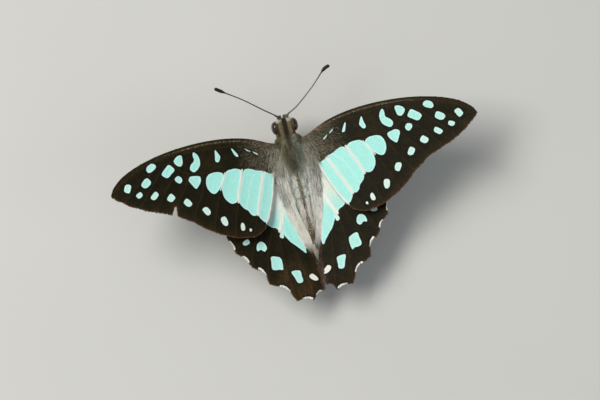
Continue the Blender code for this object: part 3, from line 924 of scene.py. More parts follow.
class Coat:
    """Hairs gathered into one joined mesh, with random draws of their own.

    Where hairs are added, a pair of numbers stands for an even draw between them for each hair.
    """

    def __init__(self, name, finish, seed, slot="grey_hair"):
        self.name, self.finish, self.slot = name, finish, slot
        self.random = np.random.default_rng(seed)
        self.sets = []
        self.total = 0

    def even(self, low, high, size):
        """Even draws between two values."""
        return self.random.uniform(low, high, size)

    def bell(self, middle, spread, size):
        """Bell-shaped draws about a value."""
        return self.random.normal(middle, spread, size)

    def drawn(self, value, n):
        """A value itself, or even draws between a pair's two."""
        return self.even(*value, n) if isinstance(value, tuple) else value

    def stray(self, spread, n):
        """Small random vectors."""
        return self.bell(0, spread, (n, 3))

    def tints(self, colour, spread, n=None):
        """A colour, or colours, in lighter and darker shades."""
        n = len(colour) if n is None else n
        return np.broadcast_to(colour, (n, 3)) * np.exp(self.bell(0, spread, (n, 1)))

    def add(
        self, roots, directions, lengths, widths, sag, tint, uv, facing, tips=None, flatness=0.6,
        levels=SHORT_HAIR, waver=0.0,
    ):
        """Hairs from their roots, in the frame."""
        n = len(roots)
        lengths, widths = self.drawn(lengths, n), self.drawn(widths, n)
        if waver:
            sag = sag + self.stray(waver, n)
        tips = tint if tips is None else tips
        sag, tint, tips = (np.broadcast_to(value, (n, 3)) for value in (sag, tint, tips))
        points, faces, *rest = strands(
            roots, directions, lengths, widths, sag, tint, tips, uv, facing, flatness, levels
        )
        self.sets.append((points, faces + self.total, *rest))
        self.total += len(points)

    def comb(self, points, normals, on_map, along, stand, lengths, widths, sag, tint, tips=None, **more):
        """Hairs combed along a surface of the body: stand is how far they rise off it, and sag a share."""
        flat = along - np.sum(along * normals, axis=1, keepdims=True) * normals
        stand = np.reshape(self.drawn(stand, len(points)), (-1, 1))
        directions = unit(unit(flat) + normals * stand)
        roots, sag = to_world(points), sag * normals
        self.add(roots, directions, lengths, widths, sag, tint, on_map, normals, tips, **more)

    def grow(self, y, turn, along, stand, lengths, widths, sag, tint, tips=None, lift=0.0, **more):
        """Hairs combed along the body's own skin, from distances along it and turns from its top."""
        points, normals = on_body(y, turn, lift)
        on_map = body_map(y, turn)
        self.comb(points, normals, on_map, along, stand, lengths, widths, sag, tint, tips, **more)

    def finish_piece(self):
        """The joined piece."""
        points, faces, tints, places = (np.concatenate(part) for part in zip(*self.sets))
        build(self.name, points, faces, self.finish, self.slot, places[faces.ravel()], tint=tints)


def fringe_coat(wing, finish, seed):
    """Short scales along the wing's free edge: brown, and white in the hindwing's bays."""
    coat = Coat("coat_fringe_" + wing.name, finish, seed, "wing_scales")
    line = spaced(np.vstack([wing.loop, wing.loop[:1]]), 0.036)[:-1]
    line = line + coat.bell(0, 0.012, line.shape)
    line = line[(wing.field("front", line) > 0.5) & (wing.field("inner", line) > 0.3)]
    line = line[line[:, 0] > (1.6 if wing.fore else -3.0)]
    if not wing.fore:
        line = line[(line[:, 1] > 12.0) | (line[:, 0] > 5.0)]
    n = len(line)
    out = unit(wing.slope(line, 0.10))
    out = unit(out + 0.25 * wing.lie(line) + coat.bell(0, 0.16, line.shape))
    roots = line - out * (FRINGE + 0.12)
    roots = wing.place(roots, wing.relief(roots) + coat.even(-0.03, 0.03, n))
    directions = wing.to_frame(np.column_stack([out, coat.bell(0, 0.10, n)]))
    lengths, widths = coat.even(0.29, 0.41, n), coat.even(0.045, 0.085, n)
    patch, white, _ = wing.marks(line - out * 0.1)["mark_a"].T
    brown = np.array((0.060, 0.030, 0.016)) * coat.even(0.5, 1.6, (n, 1))
    rusty = coat.even(0, 1, n) < (0.30 if wing.fore else 0.62)
    tint = np.where(rusty[:, None], (0.26, 0.125, 0.06), brown)
    tint = np.where(((patch < 0.10) & (white > 0.8))[:, None], (0.80, 0.80, 0.72), tint)
    if wing.fore:
        u, v = line.T
        creamy = smooth(v, 3.6, 4.5) * smooth(v, 15.6, 14.6) * smooth(u, 7.6, 6.8)
        cream = np.array((0.84, 0.81, 0.73)) * coat.even(0.80, 1.12, (n, 1))
        tint = np.where((creamy > coat.even(0, 1, n))[:, None], cream, tint)
    on_map = chart_map(wing, line)
    coat.add(roots, directions, lengths, widths, 0.0, tint, on_map, wing.up(n), flatness=0.4)
    coat.finish_piece()


# ---------------------------------------------------------------- body

# Distance along the body, centre height, half width and half height, out to the coat
BODY_SECTIONS = curve(
    [
        (-8.42, 8.22, 0.40, 0.40), (-8.32, 8.25, 0.95, 0.85), (-7.95, 8.30, 1.55, 1.35),
        (-7.10, 8.35, 2.10, 1.85), (-6.20, 8.40, 2.15, 1.95), (-5.20, 8.35, 1.97, 1.72),
        (-4.58, 8.26, 1.92, 1.58), (-4.30, 8.20, 2.32, 1.80), (-3.60, 8.05, 2.80, 2.40),
        (-2.40, 7.90, 2.85, 2.80), (-0.80, 7.85, 2.85, 2.95), (0.90, 7.85, 2.65, 2.80),
        (2.10, 7.90, 2.20, 2.30), (2.75, 7.92, 1.78, 1.80), (3.40, 7.84, 1.74, 1.78),
        (4.60, 7.75, 1.95, 2.00), (8.00, 7.60, 2.05, 2.15), (12.0, 7.35, 1.85, 2.00),
        (16.0, 7.05, 1.45, 1.65), (19.0, 6.80, 0.95, 1.15), (20.2, 6.68, 0.55, 0.65),
        (20.62, 6.65, 0.18, 0.2),
    ],
    8,
)
FACE = -8.42
WAIST = 2.9
TAIL = 20.6
SEGMENT = 2.2  # length of one ring of the abdomen
EYE_CENTRE = (2.02, -6.65, 8.55)
EYE_RADII = (0.85, 1.38, 1.55)
PALP_ROUTE = [(0.50, -7.70, 6.95), (0.56, -8.55, 7.00), (0.62, -8.95, 7.55), (0.60, -8.98, 8.30)]
PALP_RADII = ((0, 0.4, 0.75, 1), (0.34, 0.32, 0.38, 0.16))  # shares of the length, and the radii there
# Ball-shaped parts of the skin: centre and half sizes
TEGULA = ((2.10, -2.3, 9.20), (0.55, 1.05, 0.52))
FEELER_SOCKET = ((1.0, -8.05, 9.25), (0.30, 0.30, 0.26))
LEG_BASES = [
    ((1.05, -3.3, 5.35), (0.55, 0.60, 0.75)),
    ((1.20, -0.85, 5.05), (0.60, 0.75, 0.80)),
    ((1.15, 1.6, 5.20), (0.60, 0.75, 0.75)),
]
ANTENNA_ROUTES = {
    1: [
        (0.95, -7.95, 9.1), (1.2, -8.75, 9.9), (3.9, -10.8, 10.6), (7.4, -13.4, 11.8), (10.9, -15.6, 12.8),
        (12.7, -16.8, 13.2),
    ],
    -1: [
        (-0.95, -7.95, 9.1), (-1.2, -8.7, 9.9), (-3.5, -9.9, 10.4), (-7.4, -12.7, 12.0),
        (-10.5, -15.5, 12.9), (-12.0, -16.1, 13.2),
    ],
}
FEELER_PALE = {1: (0.120, 0.100, 0.070), -1: (0.260, 0.235, 0.180)}
# Each leg's hip, body joint, knee, ankle, heel and toe
LEG_ROUTES = {
    "front": [
        (1.05, -3.3, 5.6), (1.05, -3.3, 4.95), (1.55, -4.9, 5.0), (1.6, -6.5, 1.0), (1.6, -7.15, 0.16),
        (1.4, -9.2, 0.14),
    ],
    "middle": [
        (1.25, -0.85, 5.5), (1.25, -0.85, 4.6), (4.7, -0.9, 5.6), (6.7, 1.6, 1.0), (7.1, 2.2, 0.16),
        (8.6, 4.7, 0.14),
    ],
    "hind": [
        (1.15, 1.6, 5.5), (1.15, 1.6, 4.65), (4.0, 4.4, 5.5), (5.5, 9.6, 1.1), (5.7, 10.5, 0.16),
        (6.4, 14.4, 0.14),
    ],
}
# Radii at shares of the length
HIP_RADII = [(0, 0.42), (0.7, 0.34), (1, 0.22)]
THIGH_RADII = [(0, 0.20), (0.15, 0.27), (0.6, 0.24), (0.93, 0.17), (1, 0.10)]
SHIN_RADII = [(0, 0.12), (0.06, 0.19), (0.5, 0.165), (0.9, 0.185), (1, 0.12)]
SOLE_RADII = [(0, 0.085), (0.15, 0.12), (0.85, 0.138), (1, 0.10)]
CLAW_RADII = [(0, 0.06), (0.5, 0.045), (1, 0.012)]
SPUR_RADII = [(0, 0.055), (1, 0.010)]


def section(y):
    """Centre height, half width and half height of the body's outline at distances along it."""
    return [np.interp(y, BODY_SECTIONS[:, 0], BODY_SECTIONS[:, k]) for k in (1, 2, 3)]


def coat_depth(y):
    """How far the skin lies inside the coat's outline."""
    return 0.16 + 0.16 * smooth(y, -5.2, -3.4) - 0.14 * smooth(y, 3.0, 6.0)


def on_body(y, turn, lift=0.0):
    """Points on the body's skin and the ways out of it, at turns from its top towards the left side."""
    height, half_width, half_height = section(y)
    depth = coat_depth(y) - lift
    wide, tall = np.maximum(half_width - depth, 0.05), np.maximum(half_height - depth, 0.05)
    points = columns(wide * np.sin(turn), y, height + tall * np.cos(turn))
    step = 0.1
    _, width_before, height_before = section(y - step)
    _, width_after, height_after = section(y + step)
    slope = ((width_before - width_after) + (height_before - height_after)) / (4 * step)
    return points, unit(columns(np.sin(turn) / wide, slope / (0.5 * (wide + tall)), np.cos(turn) / tall))


def body_map(y, turn):
    """Places on the body's map: round it and along it."""
    return columns(0.5 + 0.96 * turn / (2 * np.pi), 0.02 + 0.94 * (y + 9.2) / 31.0)


def to_world(points):
    """Points along the body to the frame's own."""
    return points + [0, BODY_Y, 0]


def body_tint(points):
    """Colour of the body's coat at points in the body's own frame."""
    x, y, z = points.T
    height, half_width, half_height = section(y)
    across = x / half_width
    up = (z - height) / half_height
    tint = np.tile((0.165, 0.145, 0.095), (len(points), 1))

    def lay(colour, share):
        nonlocal tint
        tint = blend(tint, colour, np.clip(share, 0, 1)[:, None])

    side = np.abs(across)
    head = smooth(y, -4.4, -4.9)
    tail = smooth(y, 2.2, 4.2)
    chest = (1 - head) * (1 - tail)
    # Belly and flanks
    lay((0.42, 0.40, 0.33), smooth(up, -0.1, -0.6) * (1 - head))
    # Head: yellow olive beside a dark crown, brown round the eyes, a pale stripe low on the cheek
    lay((0.250, 0.200, 0.110), head * smooth(side, 0.16, 0.30) * smooth(side, 0.74, 0.60))
    lay((0.036, 0.028, 0.015), head * smooth(side, 0.30, 0.12) * smooth(up, 0.2, 0.6))
    lay((0.085, 0.045, 0.022), head * smooth(side, 0.58, 0.70) * smooth(up, -0.3, 0.1))
    lay((0.55, 0.52, 0.43), head * smooth(up, -0.25, -0.55))
    lay((0.12, 0.09, 0.05), head * smooth(y, -7.9, -8.4) * smooth(up, -0.3, 0.2))
    lay((0.22, 0.19, 0.14), smooth(y, -8.3, -8.7))
    # Thorax: dark middle stripe, olive on its left, blue grey on its right, grey behind
    front = chest * smooth(y, 0.4, -1.6)
    top = smooth(up, 0.05, 0.45)
    lay((0.175, 0.155, 0.082), front * top * smooth(side, 0.10, 0.24))
    lay((0.110, 0.092, 0.050), front * top * smooth(side, 0.62, 0.80))
    lay((0.175, 0.202, 0.175), front * top * smooth(across, -0.18, -0.30) * smooth(across, -0.62, -0.50))
    lay((0.235, 0.215, 0.115), front * top * smooth(across, 0.22, 0.34) * smooth(across, 0.66, 0.54))
    rear = chest * smooth(y, -1.6, 0.6)
    lay((0.290, 0.280, 0.215), rear * top * smooth(side, 0.12, 0.40))
    lay((0.165, 0.135, 0.085), rear * top * smooth(side, 0.45, 0.30) * smooth(side, 0.10, 0.30))
    lay((0.050, 0.043, 0.020), 0.85 * chest * top * smooth(side, 0.20, 0.08) * smooth(y, 0.4, -2.4))
    waist = smooth(y, -1.2, 0.8) * smooth(y, 6.0, 4.0)
    lay((0.095, 0.082, 0.048), 0.8 * top * smooth(side, 0.36, 0.14) * waist)
    # Abdomen: blue grey beside a brown middle line, then bare brown
    lay((0.36, 0.35, 0.29), tail * smooth(up, -0.2, 0.2))
    back = smooth(up, 0.1, 0.5)
    lay((0.56, 0.60, 0.54), tail * back * smooth(side, 0.12, 0.36) * smooth(side, 0.90, 0.65))
    lay((0.130, 0.102, 0.062), tail * smooth(side, 0.24, 0.06) * smooth(up, 0.2, 0.6))
    lay((0.220, 0.150, 0.090), 0.85 * smooth(y, 11.0, 12.6) * smooth(side, 0.50, 0.20) * back)
    lay((0.130, 0.085, 0.052), smooth(y, 14.5, 17.5))
    lay((0.50, 0.48, 0.40), tail * smooth(up, -0.25, -0.6) * smooth(y, 18.0, 15.0))
    return tint


def loft(rings):
    """Closed surface through rings of equal count: points and triangles."""
    count, sides = rings.shape[:2]
    points = np.vstack([rings.reshape(-1, 3), rings[0].mean(0)[None], rings[-1].mean(0)[None]])
    i, k = np.meshgrid(np.arange(count - 1), np.arange(sides), indexing="ij")
    a, b = (i * sides + k).ravel(), (i * sides + (k + 1) % sides).ravel()
    c, d = b + sides, a + sides
    start = np.arange(sides)
    end = (start + 1) % sides
    lid = (count - 1) * sides
    caps = [columns(end, start, count * sides), columns(start + lid, end + lid, count * sides + 1)]
    return points, np.concatenate([columns(a, b, c), columns(a, c, d), *caps])


def tube(line, radii, sides=12):
    """Closed round tube along a line."""
    ahead = unit(np.gradient(line, axis=0))
    side = np.zeros_like(line)
    last = unit(np.cross(ahead[0], (0.31, 0.22, 0.93)))
    for i, direction in enumerate(ahead):
        last = unit(last - (last @ direction) * direction)
        side[i] = last
    up = np.cross(ahead, side)
    turn = 2 * np.pi * np.arange(sides)[:, None] / sides
    ring = side[:, None] * np.cos(turn) + up[:, None] * np.sin(turn)
    return loft(line[:, None] + ring * np.asarray(radii)[:, None, None])


def ellipsoid(centre, radii, rows=24, sides=32):
    """Closed ellipsoid whose poles lie along its y."""
    t = np.linspace(0.02, np.pi - 0.02, rows)[:, None]
    turn = 2 * np.pi * np.arange(sides) / sides
    return loft(columns(np.sin(t) * np.sin(turn), -np.cos(t), np.sin(t) * np.cos(turn)) * radii + centre)


def joined(parts):
    """Several meshes' points and triangles as one."""
    starts = np.cumsum([0] + [len(points) for points, _ in parts])
    points = np.concatenate([points for points, _ in parts])
    return points, np.concatenate([faces + start for (_, faces), start in zip(parts, starts)])


def fused(points, faces, voxel, rounds):
    """One closed skin round overlapping parts, by remeshing, in the parts' own mm."""
    mesh = bpy.data.meshes.new("parts")
    mesh.from_pydata(points, [], faces)
    thing = bpy.data.objects.new("parts", mesh)
    bpy.context.scene.collection.objects.link(thing)
    remesh = thing.modifiers.new("remesh", "REMESH")
    remesh.mode = "VOXEL"
    remesh.voxel_size = voxel
    thing.modifiers.new("soften", "SMOOTH").iterations = rounds
    found = read_mesh(thing.evaluated_get(bpy.context.evaluated_depsgraph_get()).to_mesh())
    bpy.data.objects.remove(thing)
    return found


def make_skin(finish):
    """One skin for head, thorax, abdomen and palps."""
    sides = 72
    turn = 2 * np.pi * np.arange(sides) / sides
    rings = []
    for y in np.append(np.arange(FACE, TAIL, 0.1), TAIL):
        ring = on_body(np.full(sides, y), turn)[0]
        if y > WAIST:
            phase = ((y - WAIST) / SEGMENT) % 1
            swell = 0.035 * phase - 0.03 * smooth(phase, 0.9, 1.0)
            centre = np.array((0, y, section(y)[0]))
            ring = centre + (ring - centre) * (1 + swell)
        rings.append(ring)
    parts = [loft(np.array(rings)[:, ::-1])]
    for side in SIDES:
        line = spaced(curve(mirrored(PALP_ROUTE, side), 8), 0.1)
        parts.append(tube(line, np.interp(np.linspace(0, 1, len(line)), *PALP_RADII), 20))
        for centre, radii in (TEGULA, FEELER_SOCKET, *LEG_BASES):
            parts.append(ellipsoid(mirrored(centre, side), radii))
    points, faces = fused(*joined(parts), 0.11, 4)
    skin = build("body_skin", to_world(points), faces, finish, "grey_hair", tint=body_tint(points))
    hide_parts("head", "thorax", "abdomen", "palp_left", "palp_right")


def make_eyes(finish):
    """Two glossy eyeballs, browner towards the crown."""
    for side, name in SIDES.items():
        centre = mirrored(EYE_CENTRE, side)
        points, faces = ellipsoid(centre, EYE_RADII, 72, 96)
        inner = smooth(side * (points[:, 0] - centre[0]) / EYE_RADII[0], -0.02, -0.38)
        eye = build("eyeball_" + name, to_world(points), faces, finish, "eye_gloss", inner=inner)
        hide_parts("eye_" + name)


def make_antennae(finish):
    """Feelers of many small rings, with a stout base joint and a club."""
    step, sides = 0.045, 16
    for side, name in SIDES.items():
        line = spaced(curve(ANTENNA_ROUTES[side], 10), step)
        length = step * (len(line) - 1)
        run = np.linspace(0, length, len(line))
        share = run / length
        shaft = 0.150 - 0.025 * smooth(share, 0.05, 0.5)
        club = 0.245 * smooth(share, 0.825, 0.91)
        round_end = np.sqrt(np.clip(1 - np.clip(1 - (length - run) / 0.42, 0, 1) ** 2, 0, 1))
        base = 0.11 * smooth(run, 1.15, 0.95) * smooth(run, 0.3, 0.7) + 0.06 * smooth(run, 1.75, 1.6)
        ring = ((run / 0.38) % 1.0) * smooth(run, 1.7, 1.9)
        radii = np.maximum((shaft + club + base) * round_end, 0.03)
        radii *= 1 - 0.06 * (1 - ring) * smooth(share, 0.95, 0.80)
        points, faces = tube(line, radii, sides)
        pale = (0.40 + 0.50 * smooth(ring, 0.85, 0.98)) * smooth(share, 0.84, 0.66)
        # The tube's two end points come last
        pale = np.concatenate([np.repeat(pale, sides), [0.40, 0.0]])
        tint = blend((0.010, 0.008, 0.006), FEELER_PALE[side], pale[:, None])
        feeler = build("feeler_" + name, to_world(points), faces, finish, "dark_horn", tint=tint)
        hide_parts("antenna_" + name)


def make_tongue(finish):
    """Tongue coiled under the head, of fine rings."""
    turns, outer, inner = 2.2, 1.12, 0.28
    y, z = -7.35, 4.75
    t = np.linspace(0, 1, 420)
    angle = 2 * np.pi * turns * t
    reach = outer + (inner - outer) * t
    coil = columns(0.0, y + reach * np.sin(angle), z + reach * np.cos(angle))
    lead = columns(0.0, np.linspace(y + 0.05, y, 24), np.linspace(z + outer + 1.0, z + outer + 0.04, 24))
    line = np.vstack([lead, coil])
    count = np.arange(len(line))
    line[:, 0] += 0.02 * np.sin(count * 0.11)
    ripple = np.sin(count * 1.2)
    radii = (0.20 - 0.09 * np.linspace(0, 1, len(line))) * (1 + 0.07 * ripple)
    points, faces = tube(line, radii, 14)
    ring = np.concatenate([np.repeat(ripple > 0.2, 14), [False, False]])
    tint = np.where(ring[:, None], (0.075, 0.042, 0.022), (0.030, 0.017, 0.010))
    piece = build("tongue_coil", to_world(points), faces, finish, "dark_horn", tint=tint)
    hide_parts("tongue")


def make_leg(pair, side, finish):
    """Jointed leg with spurs, five-part foot and claws, resting on its sole."""
    brown, pale, black = (0.060, 0.042, 0.028), (0.240, 0.205, 0.150), (0.020, 0.014, 0.010)
    hip, body_joint, knee, ankle, heel, toe = mirrored(LEG_ROUTES[pair], side)
    parts, tints = [], []

    def cover(line, radii, tone, sides):
        points, faces = tube(line, np.interp(np.linspace(0, 1, len(line)), *zip(*radii)), sides)
        parts.append((points, faces))
        tints.append(np.tile(tone, (len(points), 1)))

    def limb(points, radii, tone, step=0.06, sides=14):
        cover(spaced(curve(points, 10), step), radii, tone, sides)

    limb([hip, body_joint], HIP_RADII, pale)
    limb([body_joint, body_joint * 0.5 + knee * 0.5 + [0, 0, 0.12], knee], THIGH_RADII, brown)
    limb([knee, knee * 0.5 + ankle * 0.5 + [0.05 * side, 0, 0.08], ankle], SHIN_RADII, brown)
    foot = spaced(curve([ankle, heel, (heel + toe) / 2, toe], 10), 0.02)
    run = np.linspace(0, 1, len(foot))
    cuts = [0.0, 0.42, 0.60, 0.75, 0.88, 1.0]
    for a, b in zip(cuts, cuts[1:]):
        piece = foot[(run >= a - 0.005) & (run <= b + 0.005)]
        cover(piece, SOLE_RADII, brown if a < 0.5 else black, 12)
    ahead = unit(toe - heel)
    out = np.array((-ahead[1], ahead[0], 0.0))
    for way in (1, -1):
        bend = toe + 0.22 * ahead + way * 0.12 * out + [0, 0, 0.02]
        point = toe + 0.34 * ahead + way * 0.20 * out - [0, 0, 0.09]
        limb([toe, bend, point], CLAW_RADII, black, 0.03, 8)
        spur = ankle + 0.45 * unit(ankle - knee) + way * 0.28 * out
        limb([ankle, spur], SPUR_RADII, pale, 0.05, 8)
    points, faces = joined(parts)
    points[:, 2] = np.maximum(points[:, 2], 0.0)
    name = SIDES[side]
    tint = np.concatenate(tints)
    leg = build(
        "leg_" + pair + "_" + name + "_jointed", to_world(points), faces, finish, "leg_scales", tint=tint
    )
    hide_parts("leg_" + pair + "_" + name)


# ---------------------------------------------------------------- coats


def in_eye(points, grow):
    """Whether points lie inside an eye made larger by grow."""
    inside = np.zeros(len(points), bool)
    for side in SIDES:
        away = (points - mirrored(EYE_CENTRE, side)) / (np.array(EYE_RADII) + grow)
        inside |= np.sum(away**2, axis=1) < 1
    return inside


def round_about(coat, n, lowest, highest):
    """Angle about the vertical, angle down from it, and direction, for cosines between two limits."""
    angle = coat.even(-np.pi, np.pi, n)
    down = np.arccos(coat.even(lowest, highest, n))
    return angle, down, columns(np.sin(down) * np.cos(angle), np.sin(down) * np.sin(angle), np.cos(down))


def backward(out):
    """Directions straight back along the body, and out to its left by given shares."""
    return columns(out, 1.0, 0.0)


def crown_hair(coat):
    """Upright hair over the whole head but the eyes, turned down over the face."""
    y, turn = coat.even(-8.35, -4.5, 6200), coat.even(-np.pi, np.pi, 6200)
    bare = in_eye(on_body(y, turn)[0], 0.02)
    y, turn = y[~bare], turn[~bare]
    n = len(y)
    points, _ = on_body(y, turn)
    ahead = smooth(y, -7.4, -8.1)
    along = blend((0, 1.0, 0), (0, -0.4, -0.6), ahead[:, None]) + coat.stray(0.22, n)
    along[:, 0] += 0.21 * np.sign(points[:, 0])
    stand = coat.even(0.35, 0.85, n) + 0.5 * ahead
    lengths = coat.even(0.30, 0.58, n) * (1 + 0.95 * smooth(y, -6.0, -4.8))
    tint = coat.tints(body_tint(points), 0.35)
    tips = np.minimum(tint * 1.5 + 0.01, 1)
    coat.grow(y, turn, along, stand, lengths, (0.045, 0.075), -0.15, tint, tips)


def feeler_tuft(coat, side):
    """Cream tuft at the root of a feeler."""
    n = 330
    out, y = side * coat.bell(0.92, 0.19, n), coat.bell(-7.85, 0.24, n)
    turn = np.arcsin(np.clip(out / np.maximum(section(y)[1], 0.3), -0.95, 0.95))
    along = (0.15 * side, 0.75, 0.2) + coat.stray(0.25, n)
    tint = np.minimum(coat.tints((0.80, 0.77, 0.67), 0.15, n), 0.85)
    coat.grow(y, turn, along, (0.5, 1.1), (0.45, 0.85), (0.05, 0.085), -0.2, tint, lift=0.1)


def eye_ring(coat, side):
    """Brown and cream scales round an eye."""
    n = 300
    angle = coat.even(0, 2 * np.pi, n)
    inward = -0.30
    ring = math.sqrt(1 - inward**2)
    rim = columns(side * inward, ring * np.cos(angle), ring * np.sin(angle)) * EYE_RADII
    points = mirrored(EYE_CENTRE, side) + rim * 1.02
    along = (0.9 * side, 0.35, 0) + coat.stray(0.25, n)
    tint = np.where(coat.even(0, 1, (n, 1)) < 0.7, (0.075, 0.045, 0.024), (0.30, 0.27, 0.19))
    stand, lengths, widths = coat.even(0.15, 0.4, n), coat.even(0.18, 0.32, n), coat.even(0.05, 0.08, n)
    on_map = body_map(points[:, 1], side * (0.9 + 0.5 * np.sin(angle)))
    normals = unit(rim / np.array(EYE_RADII) ** 2)
    coat.comb(points, normals, on_map, along, stand, lengths, widths, -0.1, coat.tints(tint, 0.2))


def palp_hair(coat, side):
    """Bristly hair of a palp."""
    n = 620
    line = curve(mirrored(PALP_ROUTE, side), 12)
    share = coat.even(0.15, 0.98, n)
    middle = columns(*(np.interp(share, np.linspace(0, 1, len(line)), values) for values in line.T))
    angle = coat.even(0, 2 * np.pi, n)
    out = unit(columns(np.cos(angle), 0.5 * np.sin(angle) - 0.5, 0.8 * np.sin(angle)))
    points = middle + out * (0.9 * np.interp(share, *PALP_RADII))[:, None]
    direction = unit(out * 0.8 + (0, -0.25, 0.75) + coat.stray(0.15, n))
    dark = coat.even(0, 1, n) < np.where(out[:, 1] < -0.6, 0.7, 0.3)
    tint = np.where(dark[:, None], (0.045, 0.030, 0.020), (0.22, 0.19, 0.14))
    lengths, widths = coat.even(0.22, 0.38, n), coat.even(0.035, 0.055, n)
    on_map = columns(0.3 + side * 0.1 + 0.05 * share, 0.01 + 0.02 * angle / 7)
    coat.add(to_world(points), direction, lengths, widths, 0.0, coat.tints(tint, 0.2), on_map, out)


def head_coat(finish):
    """Hair of the head and the palps, and scales round the eyes."""
    coat = Coat("coat_head", finish, 11)
    crown_hair(coat)
    for side in SIDES:
        feeler_tuft(coat, side)
        eye_ring(coat, side)
        palp_hair(coat, side)
    coat.finish_piece()


def chest_hair(coat):
    """Hair that lies back over the whole thorax."""
    n = 8200
    y, turn = coat.even(-4.60, 3.1, n), coat.even(-np.pi, np.pi, n)
    points, _ = on_body(y, turn)
    side = np.sign(points[:, 0])
    up = np.cos(turn)
    behind, under = smooth(y, -3.0, 1.5), smooth(up, 0.0, -0.5)
    out = 0.10 * side + 0.35 * side * np.abs(np.sin(turn)) * smooth(up, -0.1, 0.5)
    along = backward(out) + coat.stray(0.16, n)
    lengths = coat.even(0.55, 0.95, n) * (1 + 1.1 * behind * (1 - under)) * (1 - 0.25 * under)
    stand = coat.even(0.12, 0.40, n) * (1 - 0.3 * behind)
    tint = coat.tints(body_tint(points), 0.38)
    pale = (coat.even(0, 1, n) < 0.10 + 0.22 * behind) & (np.abs(points[:, 0]) > 0.5)
    tint = np.where(pale[:, None], tint * 0.5 + (0.30, 0.30, 0.27), tint)
    tips = np.minimum(tint * 1.35 + 0.02, 1)
    coat.grow(y, turn, along, stand, lengths, (0.045, 0.080), -0.18, tint, tips)


def mantle(coat, side):
    """Long grey hair that streams back from one side over the wings' roots and the abdomen's start."""
    n = 2100
    y, turn = coat.even(-2.6, 3.2, n), coat.even(0.30, 1.45, n)
    out = side * (0.05 + 0.40 * smooth(turn, 0.3, 1.3)) * smooth(y, 3.0, -0.5)
    along = backward(out) + coat.stray(0.13, n)
    lengths = coat.even(1.5, 2.7, n) * (1 + 0.45 * smooth(y, -1.5, 2.0))
    tint = blend((0.140, 0.128, 0.078), (0.350, 0.370, 0.300), coat.even(0, 1, n)[:, None])
    white = coat.even(0, 1, (n, 1)) < 0.12
    tint = np.where(white, (0.62, 0.61, 0.50), coat.tints(tint, 0.2))
    # Olive near the middle on the left, blue grey on the right, and dark down the middle
    middle = smooth(turn, 0.95, 0.55)[:, None]
    tint = tint * (1 - middle * ((0.20, 0.24, 0.45) if side > 0 else (0.26, 0.18, 0.18)))
    tint = tint * (1 - 0.45 * smooth(turn, 0.60, 0.32)[:, None])
    silver = 0.95 * smooth(y, -1.2, 2.0) * smooth(turn, 0.40, 0.85) * coat.even(0.2, 1.0, n)
    tint = blend(tint, (0.86, 0.87, 0.79), 0.80 * silver[:, None])
    tips = blend(np.minimum(tint * 1.3, 1), (0.86, 0.87, 0.80), silver[:, None])
    coat.grow(
        y, side * turn, along, (0.10, 0.42), lengths, (0.034, 0.058), -0.13, tint, tips,
        waver=0.12, levels=LONG_HAIR,
    )


def collar(coat, side):
    """Hair that spreads out behind an eye."""
    n = 420
    y, turn = coat.even(-4.5, -3.3, n), side * coat.even(0.55, 1.75, n)
    along = columns(0.9 * side, 0.55 + 0.4 * (y + 4.5), 0.0) + coat.stray(0.20, n)
    tint = coat.tints((0.150, 0.130, 0.075), 0.35, n)
    tips = np.minimum(tint * 1.4, 1)
    coat.grow(y, turn, along, (0.4, 0.8), (0.6, 1.05), (0.040, 0.065), -0.15, tint, tips)


def leg_base_hair(coat, side, centre, radii):
    """Coat of a leg's base joint."""
    n = 230
    angle, _, normals = round_about(coat, n, -1.0, 0.5)
    points = mirrored(centre, side) + normals * radii
    along = (0.6 * side, 0.5, -0.6) + coat.stray(0.25, n)
    tint = coat.tints((0.36, 0.33, 0.25), 0.35, n)
    on_map = body_map(points[:, 1], side * (2.2 + 0.1 * angle))
    coat.comb(points, normals, on_map, along, (0.2, 0.5), (0.35, 0.7), (0.040, 0.065), -0.1, tint)


def tegula_hair(coat, side):
    """Coat of the scale over a forewing's root."""
    n = 520
    centre, radii = TEGULA
    _, down, normals = round_about(coat, n, -0.35, 1.0)
    points = mirrored(centre, side) + normals * radii
    normals = unit(normals / radii)
    along = (0.25 * side, 1.0, 0.0) + coat.stray(0.18, n)
    tint = coat.tints((0.105, 0.092, 0.062), 0.4, n)
    tips = np.minimum(tint * 1.4, 1)
    on_map = body_map(points[:, 1], side * (0.9 + 0.1 * down))
    coat.comb(points, normals, on_map, along, (0.15, 0.4), (0.5, 1.1), (0.045, 0.075), -0.15, tint, tips)


def crossing_hair(coat, side):
    """Pale hairs that cross over the thorax's end."""
    n = 34
    y, turn = coat.bell(1.5, 0.45, n), side * coat.even(0.35, 0.85, n)
    along = (-0.75 * side, 0.75, 0) + coat.stray(0.10, n)
    tint = coat.tints((0.36, 0.34, 0.23), 0.25, n)
    coat.grow(y, turn, along, 0.12, (0.9, 1.7), (0.03, 0.045), -0.22, tint, lift=0.25)


def thorax_coat(finish):
    """Hair of the thorax, the wings' cover scales and the legs' base joints."""
    coat = Coat("coat_thorax", finish, 12)
    chest_hair(coat)
    for side in SIDES:
        mantle(coat, side)
        collar(coat, side)
        for centre, radii in LEG_BASES:
            leg_base_hair(coat, side, centre, radii)
        tegula_hair(coat, side)
        crossing_hair(coat, side)
    coat.finish_piece()


